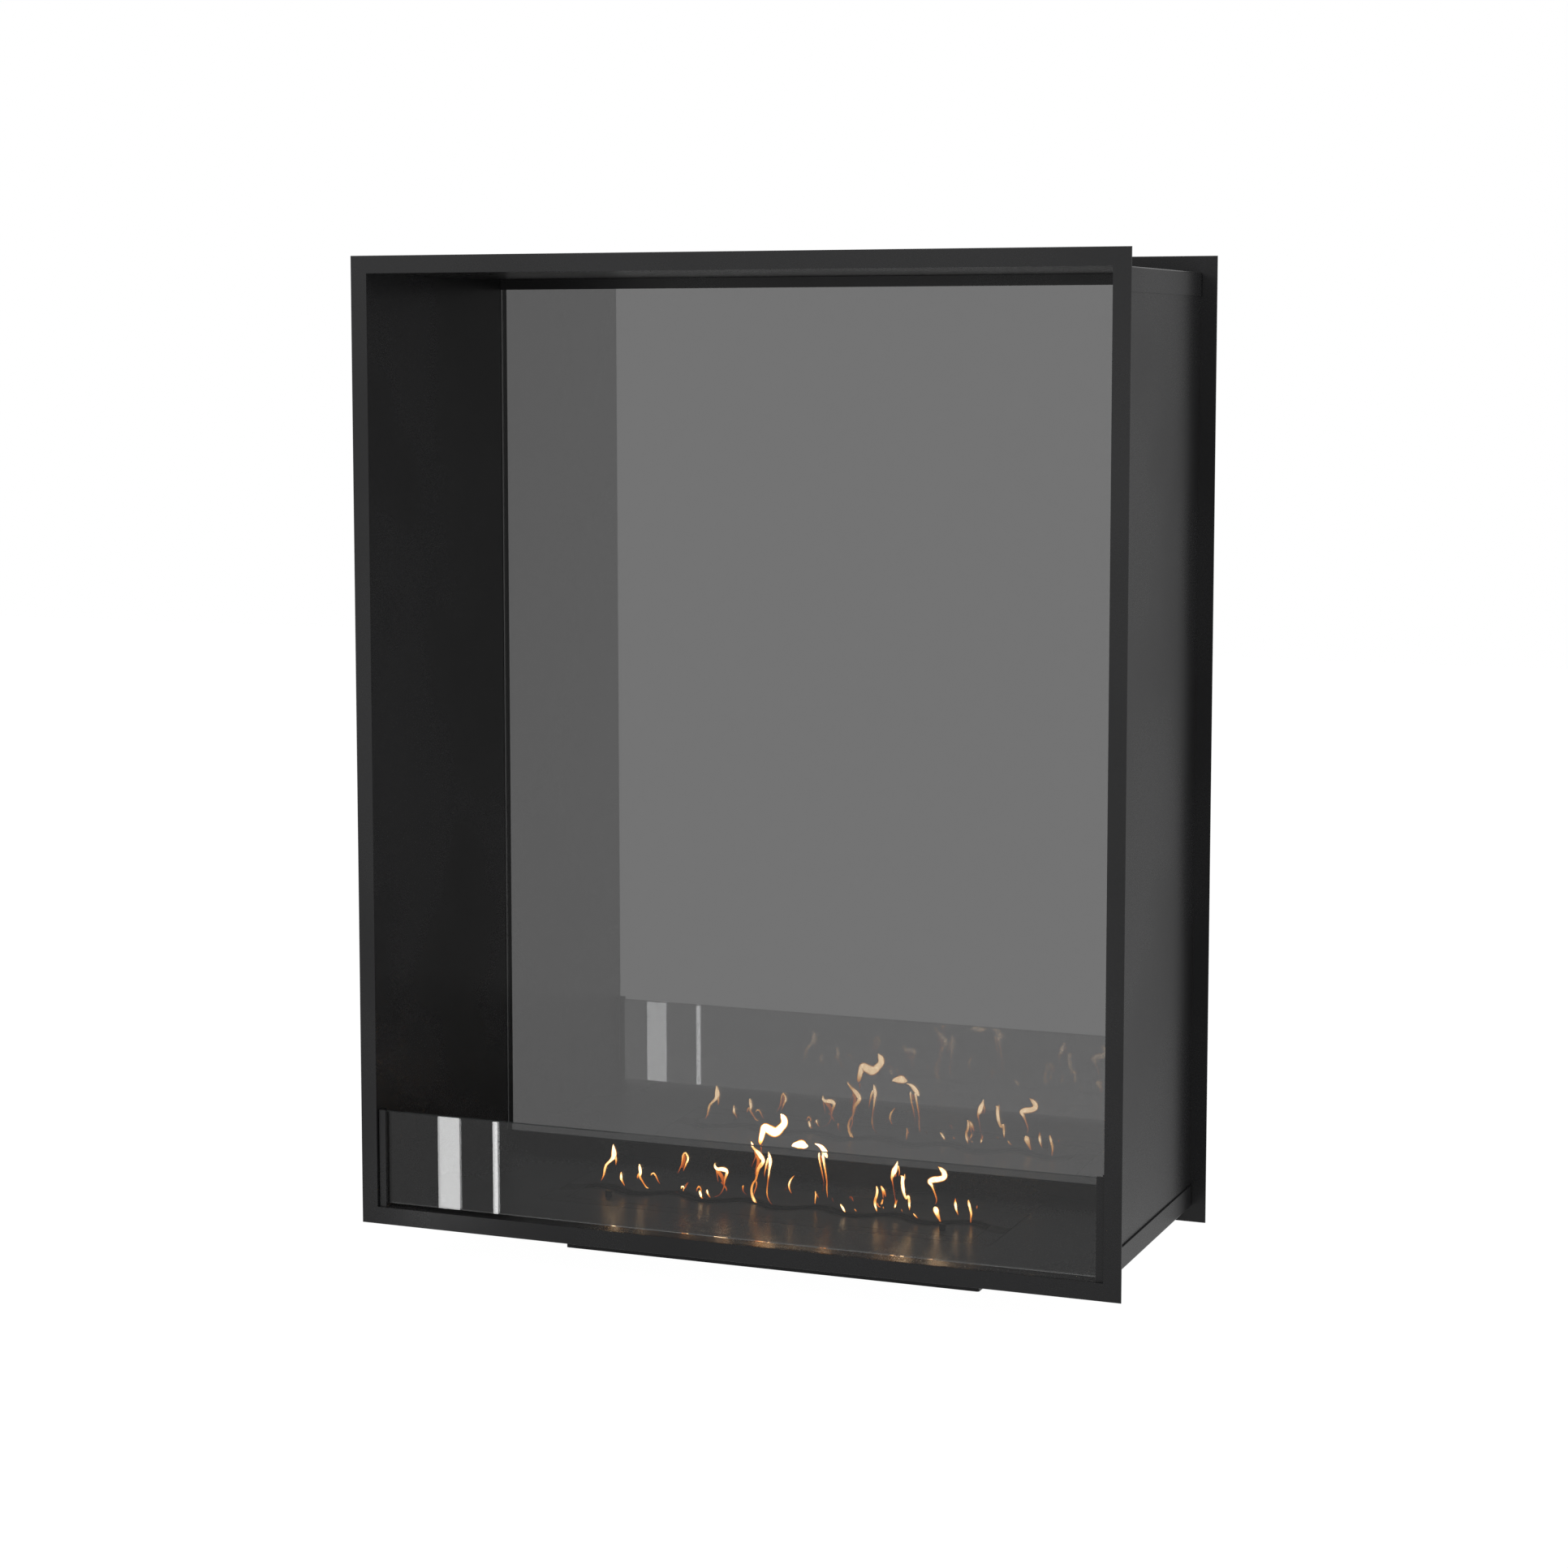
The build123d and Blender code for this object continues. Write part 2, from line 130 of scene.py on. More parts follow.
def coated_steel(name, colour, lighter, grain, grain_height, roughness, specular, paint_soot_and_shade=None):
    """A thin coat on sheet steel: fine grain in the surface, and a slow drift of shade and gloss.

    grain and grain_height are in metres; roughness is its low and high end. The last argument, if
    given, takes the tree and the piece's coordinates, and returns how much soot and painted shade
    lies on the coat.
    """
    material, tree, place = new_material(name)
    fine = add_node(
        tree, "ShaderNodeTexNoise", {"Vector": place, "Scale": 1 / grain, "Detail": 3.0, "Roughness": 0.6}
    )
    drift = add_node(
        tree,
        "ShaderNodeTexNoise",
        {"Vector": place, "Scale": 1 / COAT_DRIFT, "Detail": 2.0, "Roughness": 0.45},
    )
    patches = add_node(
        tree,
        "ShaderNodeMapRange",
        {"Value": drift, "From Min": 0.35, "From Max": 0.65},
        interpolation_type="SMOOTHSTEP",
    )
    specks = add_node(tree, "ShaderNodeMapRange", {"Value": fine, "From Min": 0.3, "From Max": 0.7})
    slow_part = add_node(tree, "ShaderNodeMath", {0: patches, 1: DRIFT_SHARE}, operation="MULTIPLY")
    shade = add_node(
        tree, "ShaderNodeMath", {0: specks, 1: 1 - DRIFT_SHARE, 2: slow_part}, operation="MULTIPLY_ADD"
    )
    dullness = add_node(
        tree, "ShaderNodeMapRange", {"Value": shade, "To Min": roughness[1], "To Max": roughness[0]}
    )
    relief = add_node(tree, "ShaderNodeBump", {"Strength": 0.6, "Distance": grain_height, "Height": fine})
    hue = add_node(
        tree,
        "ShaderNodeMix",
        {FACTOR: shade, DARK: linear(colour), LIGHT: linear(lighter)},
        data_type="RGBA",
    )
    # Soot and painted shade: where they lie, the coat turns near black and dull.
    if paint_soot_and_shade:
        soot_and_shade = paint_soot_and_shade(tree, place)
        hue = add_node(tree, "ShaderNodeMix", {FACTOR: soot_and_shade, DARK: hue, LIGHT: SOOT_AND_SHADE}, data_type="RGBA")
        dullness = add_node(
            tree, "ShaderNodeMapRange", {"Value": soot_and_shade, "To Min": dullness, "To Max": SOOT_AND_SHADE_ROUGHNESS}
        )
    coat = add_node(
        tree,
        "ShaderNodeBsdfPrincipled",
        {
            "Base Color": hue,
            "Roughness": dullness,
            "IOR": COAT_IOR,
            "Specular IOR Level": specular,
            "Normal": relief,
        },
    )
    add_node(tree, "ShaderNodeOutputMaterial", {"Surface": coat})
    return material


def soot_and_painted_shade(tree, place):
    """Painted shade, near black, on the slot's cut edges, standing in for the shade inside the slot;
    and a thin breath of soot with painted shade on the faces beside the slot.
    """
    parts = add_node(tree, "ShaderNodeSeparateXYZ", {"Vector": place}).outputs
    turns = add_node(
        tree,
        "ShaderNodeMath",
        {0: parts["X"], 1: 2 * pi / WAVE_LENGTH, 2: 2 * pi * WAVE_START / WAVE_LENGTH},
        operation="MULTIPLY_ADD",
    )
    wave = add_node(tree, "ShaderNodeMath", {0: turns}, operation="COSINE")
    off_line = add_node(
        tree, "ShaderNodeMath", {0: wave, 1: -WAVE_HEIGHT, 2: parts["Y"]}, operation="MULTIPLY_ADD"
    )
    away = add_node(tree, "ShaderNodeMath", {0: off_line}, operation="ABSOLUTE")
    # A breath of soot with painted shade on the faces beside the slot, fading out away from it.
    breath = add_node(
        tree,
        "ShaderNodeMapRange",
        {
            "Value": away,
            "From Min": HALF_SLOT,
            "From Max": HALF_SLOT + SOOT_AND_SHADE_REACH,
            "To Min": SOOT_AND_SHADE_BREATH,
            "To Max": 0.0,
        },
        interpolation_type="SMOOTHSTEP",
    )
    clouds = add_node(
        tree, "ShaderNodeTexNoise", {"Vector": place, "Scale": 1 / SOOT_AND_SHADE_CLOUD, "Detail": 3.0}
    )
    uneven = add_node(tree, "ShaderNodeMath", {0: breath, 1: clouds}, operation="MULTIPLY")
    # The cut edges, from the deck's underside up to the plate's top: painted shade, near black.
    above_deck = add_node(
        tree, "ShaderNodeMath", {0: parts["Z"], 1: DECK_UNDERSIDE - HAIR}, operation="GREATER_THAN"
    )
    below_top = add_node(
        tree, "ShaderNodeMath", {0: parts["Z"], 1: PLATE_TOP - HAIR}, operation="LESS_THAN"
    )
    cut_edge = add_node(tree, "ShaderNodeMath", {0: above_deck, 1: below_top}, operation="MULTIPLY")
    return add_node(tree, "ShaderNodeMath", {0: cut_edge, 1: uneven}, operation="MAXIMUM")


# Matt black polyester powder coat, sprayed and baked on sheet steel: nearly black, with a fine
# orange peel that breaks up the reflections. The real peel is about 0.5 mm across; it is drawn
# between three and four times as coarse so that it shows.
powder_coat = coated_steel(
    "powder_coat_matt_black",
    colour="#121213",
    lighter="#1A1A1B",
    grain=1.8 * MM,
    grain_height=0.08 * MM,
    roughness=(0.24, 0.33),
    specular=0.5,
)

# Satin heat-proof coat, sprayed on the burner and baked: smoother than the casing, so that the
# flames streak in it, with soot and painted shade on the slot's edges that the flames lick. Its
# grain is drawn coarser too.
burner_coat = coated_steel(
    "heatproof_coat_satin_black",
    colour="#1B1B1C",
    lighter="#232324",
    grain=1.4 * MM,
    grain_height=0.05 * MM,
    roughness=(0.26, 0.35),
    specular=0.34,
    # soot and painted shade at the flame slot
    paint_soot_and_shade=soot_and_painted_shade,
)

# The same coat on the two turned knobs, a little darker and closer in grain.
knob_coat = coated_steel(
    "heatproof_coat_turned_knob",
    colour="#060607",
    lighter="#0C0C0D",
    grain=0.6 * MM,
    grain_height=0.01 * MM,
    roughness=(0.35, 0.45),
    specular=0.2,
)

# Black anodised blind rivets: smooth, slightly shinier than the sheet round them.
rivet_finish = coated_steel(
    "black_anodised_rivet",
    colour="#101011",
    lighter="#19191A",
    grain=0.5 * MM,
    grain_height=0.005 * MM,
    roughness=(0.25, 0.38),
    specular=0.5,
)

# ---------------------------------------------------------------- glass
PANE_IOR = 1.95  # float glass has 1.52; the photograph's panes mirror more strongly
PANE_BOW = 0.018  # radians between the bowed face and a flat one
EDGE_CLEARNESS = 0.9  # the polish leaves an edge a little cloudy, and it scatters the rest
EDGE_GRIND = 0.8 * MM  # the length of the patches that the grinding leaves on an edge


def tinted_pane(name, tint, edge_tint):
    """Toughened float glass: mirror-smooth faces with a grey tint, and edges ground and polished.

    A pane leaves the toughening furnace with a slight bow, which sets its mirror images a little
    higher. Lamps shine through it, tinted in the same way.
    """
    material, tree, place = new_material(name)
    facing = add_node(tree, "ShaderNodeNewGeometry").outputs["Normal"]
    across = add_node(tree, "ShaderNodeSeparateXYZ", {"Vector": facing}).outputs
    leaning = add_node(
        tree, "ShaderNodeMath", {0: across["Y"], 1: PANE_BOW, 2: across["Z"]}, operation="MULTIPLY_ADD"
    )
    bowed = add_node(tree, "ShaderNodeCombineXYZ", {"X": across["X"], "Y": across["Y"], "Z": leaning})
    bowed_facing = add_node(tree, "ShaderNodeVectorMath", {0: bowed}, operation="NORMALIZE")
    # The two large faces look to the front and back, and the edges to the sides.
    face_on = add_node(tree, "ShaderNodeMath", {0: across["Y"]}, operation="ABSOLUTE")
    edge = add_node(
        tree,
        "ShaderNodeMapRange",
        {"Value": face_on, "From Min": 0.6, "From Max": 0.9, "To Min": 1.0, "To Max": 0.0},
    )
    grinding = add_node(
        tree, "ShaderNodeTexNoise", {"Vector": place, "Scale": 1 / EDGE_GRIND, "Detail": 2.0}
    )
    dullness = add_node(tree, "ShaderNodeMapRange", {"Value": grinding, "To Min": 0.02, "To Max": 0.09})
    roughness = add_node(tree, "ShaderNodeMath", {0: edge, 1: dullness}, operation="MULTIPLY")
    hue = add_node(
        tree,
        "ShaderNodeMix",
        {FACTOR: edge, DARK: linear(tint), LIGHT: linear(edge_tint)},
        data_type="RGBA",
    )
    clearness = add_node(
        tree, "ShaderNodeMapRange", {"Value": edge, "To Min": 1.0, "To Max": EDGE_CLEARNESS}
    )
    glass = add_node(
        tree,
        "ShaderNodeBsdfPrincipled",
        {
            "Base Color": hue,
            "Roughness": roughness,
            "IOR": PANE_IOR,
            "Transmission Weight": clearness,
            "Normal": bowed_facing,
        },
    )
    light_through = add_node(tree, "ShaderNodeBsdfTransparent", {"Color": linear(tint)})
    lamp_ray = add_node(tree, "ShaderNodeLightPath").outputs["Is Shadow Ray"]
    pane = add_node(tree, "ShaderNodeMixShader", {0: lamp_ray, 1: glass, 2: light_through})
    add_node(tree, "ShaderNodeOutputMaterial", {"Surface": pane})
    return material


# Smoked float glass, toughened, ground and polished edges: a dark grey mirror that lets little
# light through.
smoked_glass = tinted_pane("smoked_float_glass", tint="#616161", edge_tint="#8C9292")

# Lightly tinted float glass of the guard pane: clear grey, with a faint cool edge.
guard_glass = tinted_pane("grey_tinted_float_glass", tint="#BFC0C0", edge_tint="#A8AEAE")

# ---------------------------------------------------------------- the other finishes
SILICONE_IOR = 1.41


def extruded_silicone(name, colour, lighter, line_width, roughness):
    """Extruded silicone: a dull skin with faint lines from the die."""
    material, tree, place = new_material(name)
    lines = add_node(tree, "ShaderNodeTexNoise", {"Vector": place, "Scale": 1 / line_width, "Detail": 2.0})
    relief = add_node(tree, "ShaderNodeBump", {"Strength": 0.4, "Distance": 0.03 * MM, "Height": lines})
    hue = add_node(
        tree,
        "ShaderNodeMix",
        {FACTOR: lines, DARK: linear(colour), LIGHT: linear(lighter)},
        data_type="RGBA",
    )
    rubber = add_node(
        tree,
        "ShaderNodeBsdfPrincipled",
        {"Base Color": hue, "Roughness": roughness, "IOR": SILICONE_IOR, "Normal": relief},
    )
    add_node(tree, "ShaderNodeOutputMaterial", {"Surface": rubber})
    return material


# Black heat-proof silicone, extruded, of the seals, pads and edge strips: dull, with faint lines.
# They are drawn about three times as coarse as the die leaves them, so that they show.
silicone = extruded_silicone(
    "black_silicone", colour="#1A1A1A", lighter="#262626", line_width=0.9 * MM, roughness=0.45
)

STREAK_LENGTH = 25  # times the streak's width


def bare_steel(name, colour, lighter, streak, roughness):
    """Metal left bare, with streaks along X. streak is their width; roughness is low and high."""
    material, tree, place = new_material(name)
    stretch = (1 / (STREAK_LENGTH * streak), 1 / streak, 1 / streak)
    stretched = add_node(tree, "ShaderNodeMapping", {"Vector": place, "Scale": stretch})
    streaks = add_node(tree, "ShaderNodeTexNoise", {"Vector": stretched, "Scale": 1.0, "Detail": 4.0})
    dullness = add_node(
        tree, "ShaderNodeMapRange", {"Value": streaks, "To Min": roughness[0], "To Max": roughness[1]}
    )
    relief = add_node(tree, "ShaderNodeBump", {"Strength": 0.3, "Distance": 0.01 * MM, "Height": streaks})
    hue = add_node(
        tree,
        "ShaderNodeMix",
        {FACTOR: streaks, DARK: linear(colour), LIGHT: linear(lighter)},
        data_type="RGBA",
    )
    metal = add_node(
        tree,
        "ShaderNodeBsdfPrincipled",
        {"Base Color": hue, "Metallic": 1.0, "Roughness": dullness, "Normal": relief},
    )
    add_node(tree, "ShaderNodeOutputMaterial", {"Surface": metal})
    return material


# Stainless sheet of the fuel tank, its spacers and the wool's perforated sheet, mill finish: warm
# grey, because the heat has tinted it a little, with soft streaks. They are drawn about three times
# as coarse as the rolling leaves them, so that they show.
stainless_steel = bare_steel(
    "mill_finish_stainless", colour="#8F8A80", lighter="#B4B2AC", streak=0.7 * MM, roughness=(0.28, 0.45)
)

# Zinc plate on turned steel screws: a cooler, duller metal.
zinc_plate = bare_steel(
    "zinc_plated_screw", colour="#A0A3A6", lighter="#C0C3C4", streak=0.4 * MM, roughness=(0.32, 0.45)
)

WOOL_MAT = 2.2 * MM  # how far apart the fibres clump
WOOL_FLUFF = 0.8 * MM  # the size of the fluff on them


def fibre_wool():
    """Ceramic fibre wool, blown and needled: chalk-white, quite without gloss, softly clumped."""
    material, tree, place = new_material("ceramic_fibre_wool")
    mats = add_node(
        tree, "ShaderNodeTexVoronoi", {"Vector": place, "Scale": 1 / WOOL_MAT}, feature="F1"
    )
    fluff = add_node(
        tree,
        "ShaderNodeTexNoise",
        {"Vector": place, "Scale": 1 / WOOL_FLUFF, "Detail": 5.0, "Roughness": 0.7},
    )
    relief = add_node(tree, "ShaderNodeBump", {"Strength": 0.9, "Distance": 0.5 * MM, "Height": fluff})
    hue = add_node(
        tree,
        "ShaderNodeMix",
        {FACTOR: mats, DARK: linear("#E4E0D6"), LIGHT: linear("#BDB8AC")},
        data_type="RGBA",
    )
    wool = add_node(
        tree,
        "ShaderNodeBsdfPrincipled",
        {"Base Color": hue, "Roughness": 0.95, "Sheen Weight": 0.2, "Normal": relief},
    )
    add_node(tree, "ShaderNodeOutputMaterial", {"Surface": wool})
    return material


ceramic_wool = fibre_wool()

# The finish of each slot in the record, and with it of each CAD node.
FINISHES = {
    "powder_coat": powder_coat,
    "burner_coat": burner_coat,
    "knob_coat": knob_coat,
    "smoked_glass": smoked_glass,
    "tinted_glass": guard_glass,
    "stainless_steel": stainless_steel,
    "zinc_plated_steel": zinc_plate,
    "black_rivets": rivet_finish,
    "silicone": silicone,
    "ceramic_wool": ceramic_wool,
}
for subpart in frame["record"]["subparts"]:
    cad_materials = frame["nodes"][subpart["node"]].data.materials
    cad_materials.clear()
    cad_materials.append(FINISHES[subpart["material_slot"]])


# ---------------------------------------------------------------- shapes from node trees
def mesh_object(name, points, edges=(), faces=()):
    """An object with a new mesh, in the scene."""
    mesh = bpy.data.meshes.new(name)
    mesh.from_pydata(points, edges, faces)
    made = bpy.data.objects.new(name, mesh)
    bpy.context.scene.collection.objects.link(made)
    return made


def geometry_tree(name, sizes):
    """A geometry tree with its named inputs, and the sockets at which they arrive."""
    tree = bpy.data.node_groups.new(name, "GeometryNodeTree")
    tree.interface.new_socket("Geometry", in_out="OUTPUT", socket_type="NodeSocketGeometry")
    for label, kind in {"Geometry": "Geometry", **sizes, "Material": "Material"}.items():
        tree.interface.new_socket(label, in_out="INPUT", socket_type="NodeSocket" + kind)
    return tree, add_node(tree, "NodeGroupInput").outputs


def end_geometry(tree, shape, material):
    """Ends a geometry tree: every copy becomes a real mesh, in the material that was given."""
    real = add_node(tree, "GeometryNodeRealizeInstances", {"Geometry": shape})
    dressed = add_node(tree, "GeometryNodeSetMaterial", {"Geometry": real, "Material": material})
    add_node(tree, "NodeGroupOutput", {"Geometry": dressed})


def made_real(name, source, tree, settings):
    """Runs a node tree on an object and returns the result as a plain mesh object."""
    modifier = source.modifiers.new(name, "NODES")
    modifier.node_group = tree
    sockets = {
        item.name: item.identifier
        for item in tree.interface.items_tree
        if item.item_type == "SOCKET" and item.in_out == "INPUT"
    }
    for label, value in settings.items():
        modifier[sockets[label]] = value
    bpy.context.view_layer.update()
    evaluated = source.evaluated_get(bpy.context.evaluated_depsgraph_get())
    mesh = bpy.data.meshes.new_from_object(evaluated)
    mesh.name = name
    piece = bpy.data.objects.new(name, mesh)
    bpy.context.scene.collection.objects.link(piece)
    bpy.data.objects.remove(source)
    return piece


# ---------------------------------------------------------------- flames
# Ethanol flames, as the photograph caught them: thin, bright sheets that lift off the slot in
# hooks, leaves and beads. One entry is a flame: its Y, then its strokes. A stroke is a row of
# points (X, Z, half-width, heat), in millimetres; heat runs from 0, a faint brown-red, to 1, white.
FLAMES = [
    (
        4.7,
        [
            (-225.2, 118.9, 0.5, 0.9), (-224.8, 115.1, 1.8, 1), (-224.2, 109, 3.7, 1),
            (-224.9, 102.8, 3.4, 1), (-229.1, 97.8, 1.9, 0.95), (-234.3, 92.6, 1.8, 0.9),
            (-236.6, 86.7, 1.7, 0.85), (-237.8, 80.4, 1.3, 0.75), (-239.8, 75.5, 0.9, 0.5),
            (-241.9, 71.5, 0.4, 0.3),
        ],
        [(-223.2, 104.7, 1.8, 0.95), (-222, 99.2, 1.4, 0.8), (-222.3, 93, 0.5, 0.4)],
    ),
    (
        -11.5,
        [
            (-207.3, 89.6, 0.6, 0.8), (-207.4, 85.3, 1.7, 1), (-207.1, 80.8, 1.8, 0.9),
            (-205.6, 77.7, 1.2, 0.7), (-202.4, 72.7, 0.4, 0.35),
        ],
        [(-209.1, 82.3, 0.8, 0.5), (-208.7, 78.8, 0.5, 0.3)],
    ),
    (
        -9.5,
        [
            (-183.9, 101.1, 1, 0.9), (-183.1, 95.9, 2.2, 1), (-182.5, 89.9, 1.9, 1),
            (-183.2, 85.4, 1.5, 0.8), (-180.6, 81.2, 1.4, 0.65), (-177.7, 77, 1, 0.6),
            (-174.9, 73.4, 1, 0.8), (-171.9, 72.4, 0.9, 0.8),
        ],
        [(-184.3, 89.7, 1.3, 0.8), (-186.5, 86, 1.4, 0.7), (-187.1, 82.5, 0.6, 0.4)],
        [(-169.5, 73, 0.6, 0.4), (-167.9, 73.5, 0.5, 0.3)],
    ),
    (
        -1.5,
        [
            (-172.1, 86.2, 0.6, 0.7), (-171.1, 88.3, 1, 0.85), (-168.2, 89.1, 1.3, 0.85),
            (-165.3, 85.6, 1.1, 0.7), (-163, 80.9, 0.9, 0.5), (-160.2, 76.8, 0.4, 0.3),
        ],
    ),
    (
        5.5,
        [
            (-130.3, 116.9, 1.1, 0.85), (-132.7, 112.6, 1.3, 0.8), (-133.6, 107, 1.1, 0.65),
            (-134.4, 101.4, 1.3, 0.5), (-136.8, 96.1, 1, 0.4), (-140.2, 89.7, 0.4, 0.2),
        ],
        [
            (-130.3, 116.9, 1.1, 0.85), (-127.3, 112.5, 1.5, 0.9), (-126.8, 107.9, 1.5, 0.95),
            (-129.3, 102.4, 1.3, 0.8), (-131, 98, 1, 0.55), (-133.1, 93.4, 0.5, 0.3),
        ],
        [
            (-130.1, 114, 1.3, 0.5), (-130.3, 108.9, 2.2, 0.44), (-131.5, 103.3, 1.9, 0.36),
            (-133.4, 97.6, 1.1, 0.28),
        ],
    ),
    (
        5.5,
        [
            (-135.2, 71.3, 0.9, 0.7), (-134.5, 74, 1.1, 0.9), (-132.9, 74.9, 1.1, 1),
            (-131.7, 72.8, 1, 0.85), (-132.7, 68.6, 0.5, 0.45),
        ],
        [
            (-126.4, 79.9, 1, 0.3), (-127.9, 78.1, 1.1, 0.35), (-129.8, 74.6, 1, 0.4),
            (-131, 71.7, 0.6, 0.4),
        ],
        [(-141.2, 67.3, 0.8, 0.3), (-139.7, 67.1, 0.8, 0.3)],
    ),
    (
        -15.1,
        [
            (-106.1, 75.6, 0.6, 0.3), (-105.2, 79.6, 1.1, 0.55), (-102.8, 82.2, 1.3, 0.75),
            (-100.7, 80, 1, 0.6), (-100, 76.2, 0.8, 0.6),
        ],
        [
            (-102.6, 77.1, 1.3, 0.8), (-102, 74.4, 2.1, 1), (-100.8, 70.6, 1.5, 1),
            (-99.6, 68, 0.8, 0.6), (-97.5, 68.7, 0.5, 0.4),
        ],
    ),
    (
        -15.2,
        [(-92.4, 79.4, 1.1, 0.85), (-92, 76.6, 1.4, 1), (-90.3, 72.7, 1, 0.7), (-87.6, 69.7, 0.4, 0.35)],
        [(-93.6, 77.2, 0.9, 0.7), (-94.8, 74.6, 0.6, 0.4)],
        [(-91.4, 68.5, 0.6, 0.5), (-90.8, 68.2, 0.6, 0.4)],
    ),
    (
        -13.5,
        [
            (-82.7, 112.7, 0.5, 0.85), (-82.5, 108.2, 1.8, 1), (-79.4, 105.3, 2.3, 1),
            (-74, 105.8, 3.1, 1), (-69, 105, 3.2, 1), (-66.9, 102.3, 2.1, 0.95), (-68.2, 98.2, 1.9, 0.8),
            (-69.7, 93.5, 1.4, 0.6), (-70.6, 87.9, 1.1, 0.45), (-71.6, 82.3, 0.9, 0.4),
            (-74.5, 77.1, 0.7, 0.35), (-77.6, 73.5, 0.5, 0.25), (-85.3, 70.1, 0.3, 0.2),
        ],
        [(-81.4, 104.5, 1.1, 0.65), (-80.1, 96.4, 0.8, 0.4), (-78.7, 88.8, 0.4, 0.2)],
        [
            (-80, 103.5, 1, 0.7), (-75.8, 100.6, 3, 0.55), (-73.1, 96.5, 3, 0.42),
            (-71.6, 91.1, 1.7, 0.34), (-71.2, 85.7, 0.9, 0.25),
        ],
        [
            (-75.2, 90.2, 0.9, 0.35), (-71.3, 87, 1.1, 0.4), (-68.1, 82.7, 1.2, 0.35),
            (-67.2, 79.2, 0.7, 0.25),
        ],
    ),
    (
        5.6,
        [
            (-54, 83.2, 1.1, 0.8), (-54.2, 79.5, 1.3, 0.45), (-53.6, 76.1, 0.7, 0.3),
            (-48.6, 71.4, 0.2, 0.15),
        ],
    ),
    (
        1.6,
        [
            (-43.1, 138.1, 0.8, 0.85), (-41.6, 135.1, 1.4, 0.95), (-38, 130.7, 1.4, 0.85),
            (-33.6, 127, 2.7, 0.95), (-29.2, 122, 3.5, 1), (-26.2, 117, 2.6, 1),
            (-28.7, 111.9, 2.9, 0.85), (-32.7, 106.3, 2.4, 0.75), (-34.3, 98.9, 1.7, 0.65),
            (-36, 92.7, 1.4, 0.6), (-39, 88.7, 1.4, 0.65), (-41.1, 82.6, 1.6, 0.75),
            (-41.2, 76.3, 1.7, 0.8), (-39.3, 70.1, 2.1, 0.85), (-36.6, 65.9, 2, 0.85),
            (-34.6, 64.9, 0.9, 0.6),
        ],
        [(-35.5, 90.9, 1.2, 0.6), (-35.6, 84.6, 1, 0.5), (-37.8, 78.5, 1, 0.4), (-38.9, 74, 0.6, 0.3)],
        [(-37, 127.9, 1, 0.6), (-35.5, 122.2, 0.9, 0.45), (-38, 115.1, 0.7, 0.3), (-40.8, 108, 0.4, 0.2)],
        [
            (-35.1, 123.2, 1.3, 0.6), (-32.7, 118.5, 2.4, 0.55), (-33, 112.7, 2.4, 0.45),
            (-35.1, 105.6, 1.5, 0.38), (-36.4, 98.7, 0.9, 0.3),
        ],
        [(-32.7, 70.7, 0.7, 0.5), (-31.1, 71.8, 0.7, 0.4)],
    ),
    (
        -14.6,
        [
            (-12.8, 132.8, 0.5, 0.85), (-11.7, 128, 2, 1), (-10.6, 120.8, 2.6, 1),
            (-11.5, 113, 1.6, 0.95), (-12.5, 104.6, 1.2, 0.85), (-13.5, 97.3, 1, 0.5),
            (-14.5, 89.4, 0.9, 0.6), (-14.8, 82.6, 0.9, 0.7), (-13.5, 76.4, 0.7, 0.5),
            (-10.9, 71.8, 0.4, 0.35), (-7.5, 68.1, 0.2, 0.25),
        ],
        [
            (-13.4, 124.9, 1.5, 0.95), (-15.6, 118.4, 1.5, 0.9), (-17.1, 112, 1.1, 0.75),
            (-18.2, 106.1, 0.8, 0.5), (-18.5, 100.7, 0.3, 0.3),
        ],
        [(-13.8, 117.1, 1.4, 0.35), (-14, 111.3, 0.9, 0.3)],
    ),
    (
        -3.2,
        [
            (-2.9, 176.2, 0.9, 0.95), (-1.2, 174.5, 2.9, 1), (1.5, 169.9, 4.4, 1), (1.5, 165, 4.6, 1),
            (-2.7, 159.5, 5, 1), (-9.8, 153.6, 6.4, 1), (-17.9, 156.2, 5.9, 1), (-23.6, 158.6, 4.8, 1),
            (-26.1, 152.2, 3.9, 1), (-27.8, 145.4, 3.5, 0.95), (-29.1, 139.9, 2.8, 0.75),
            (-29.3, 136.5, 1.7, 0.5),
        ],
        [(-27.4, 136.2, 1, 0.45), (-27.2, 132.3, 0.8, 0.35), (-27, 127.5, 0.4, 0.25)],
    ),
    (
        -10.4,
        [
            (14.5, 140.5, 0.7, 0.9), (17.6, 142.1, 3.1, 1), (22.3, 142.9, 5, 1), (26.6, 143.7, 5.9, 1),
            (30.9, 142.3, 4.4, 1), (34.5, 142.3, 0.9, 0.9),
        ],
    ),
    (
        -9.8,
        [
            (18.4, 105.6, 0.4, 0.5), (14.5, 100.8, 1.1, 0.85), (11.8, 95.1, 1.3, 0.9),
            (11.8, 90.3, 1.1, 0.8), (13.3, 86, 0.8, 0.55), (15.5, 82.7, 0.3, 0.2),
        ],
        [(9.5, 92, 1.1, 0.2), (5.6, 84.3, 0.5, 0.1)],
    ),
    (
        3,
        [
            (38.4, 142.3, 0.4, 0.9), (42.2, 141.6, 1.3, 1), (47, 139, 2.8, 1), (50.5, 134.9, 3.4, 1),
            (53.8, 130.9, 2.6, 1), (55.3, 127.5, 1.1, 1),
        ],
        [
            (44.7, 132.5, 1.5, 1), (44.7, 126.2, 1.3, 0.95), (46.2, 118.5, 1.1, 0.8), (48, 111, 1, 0.6),
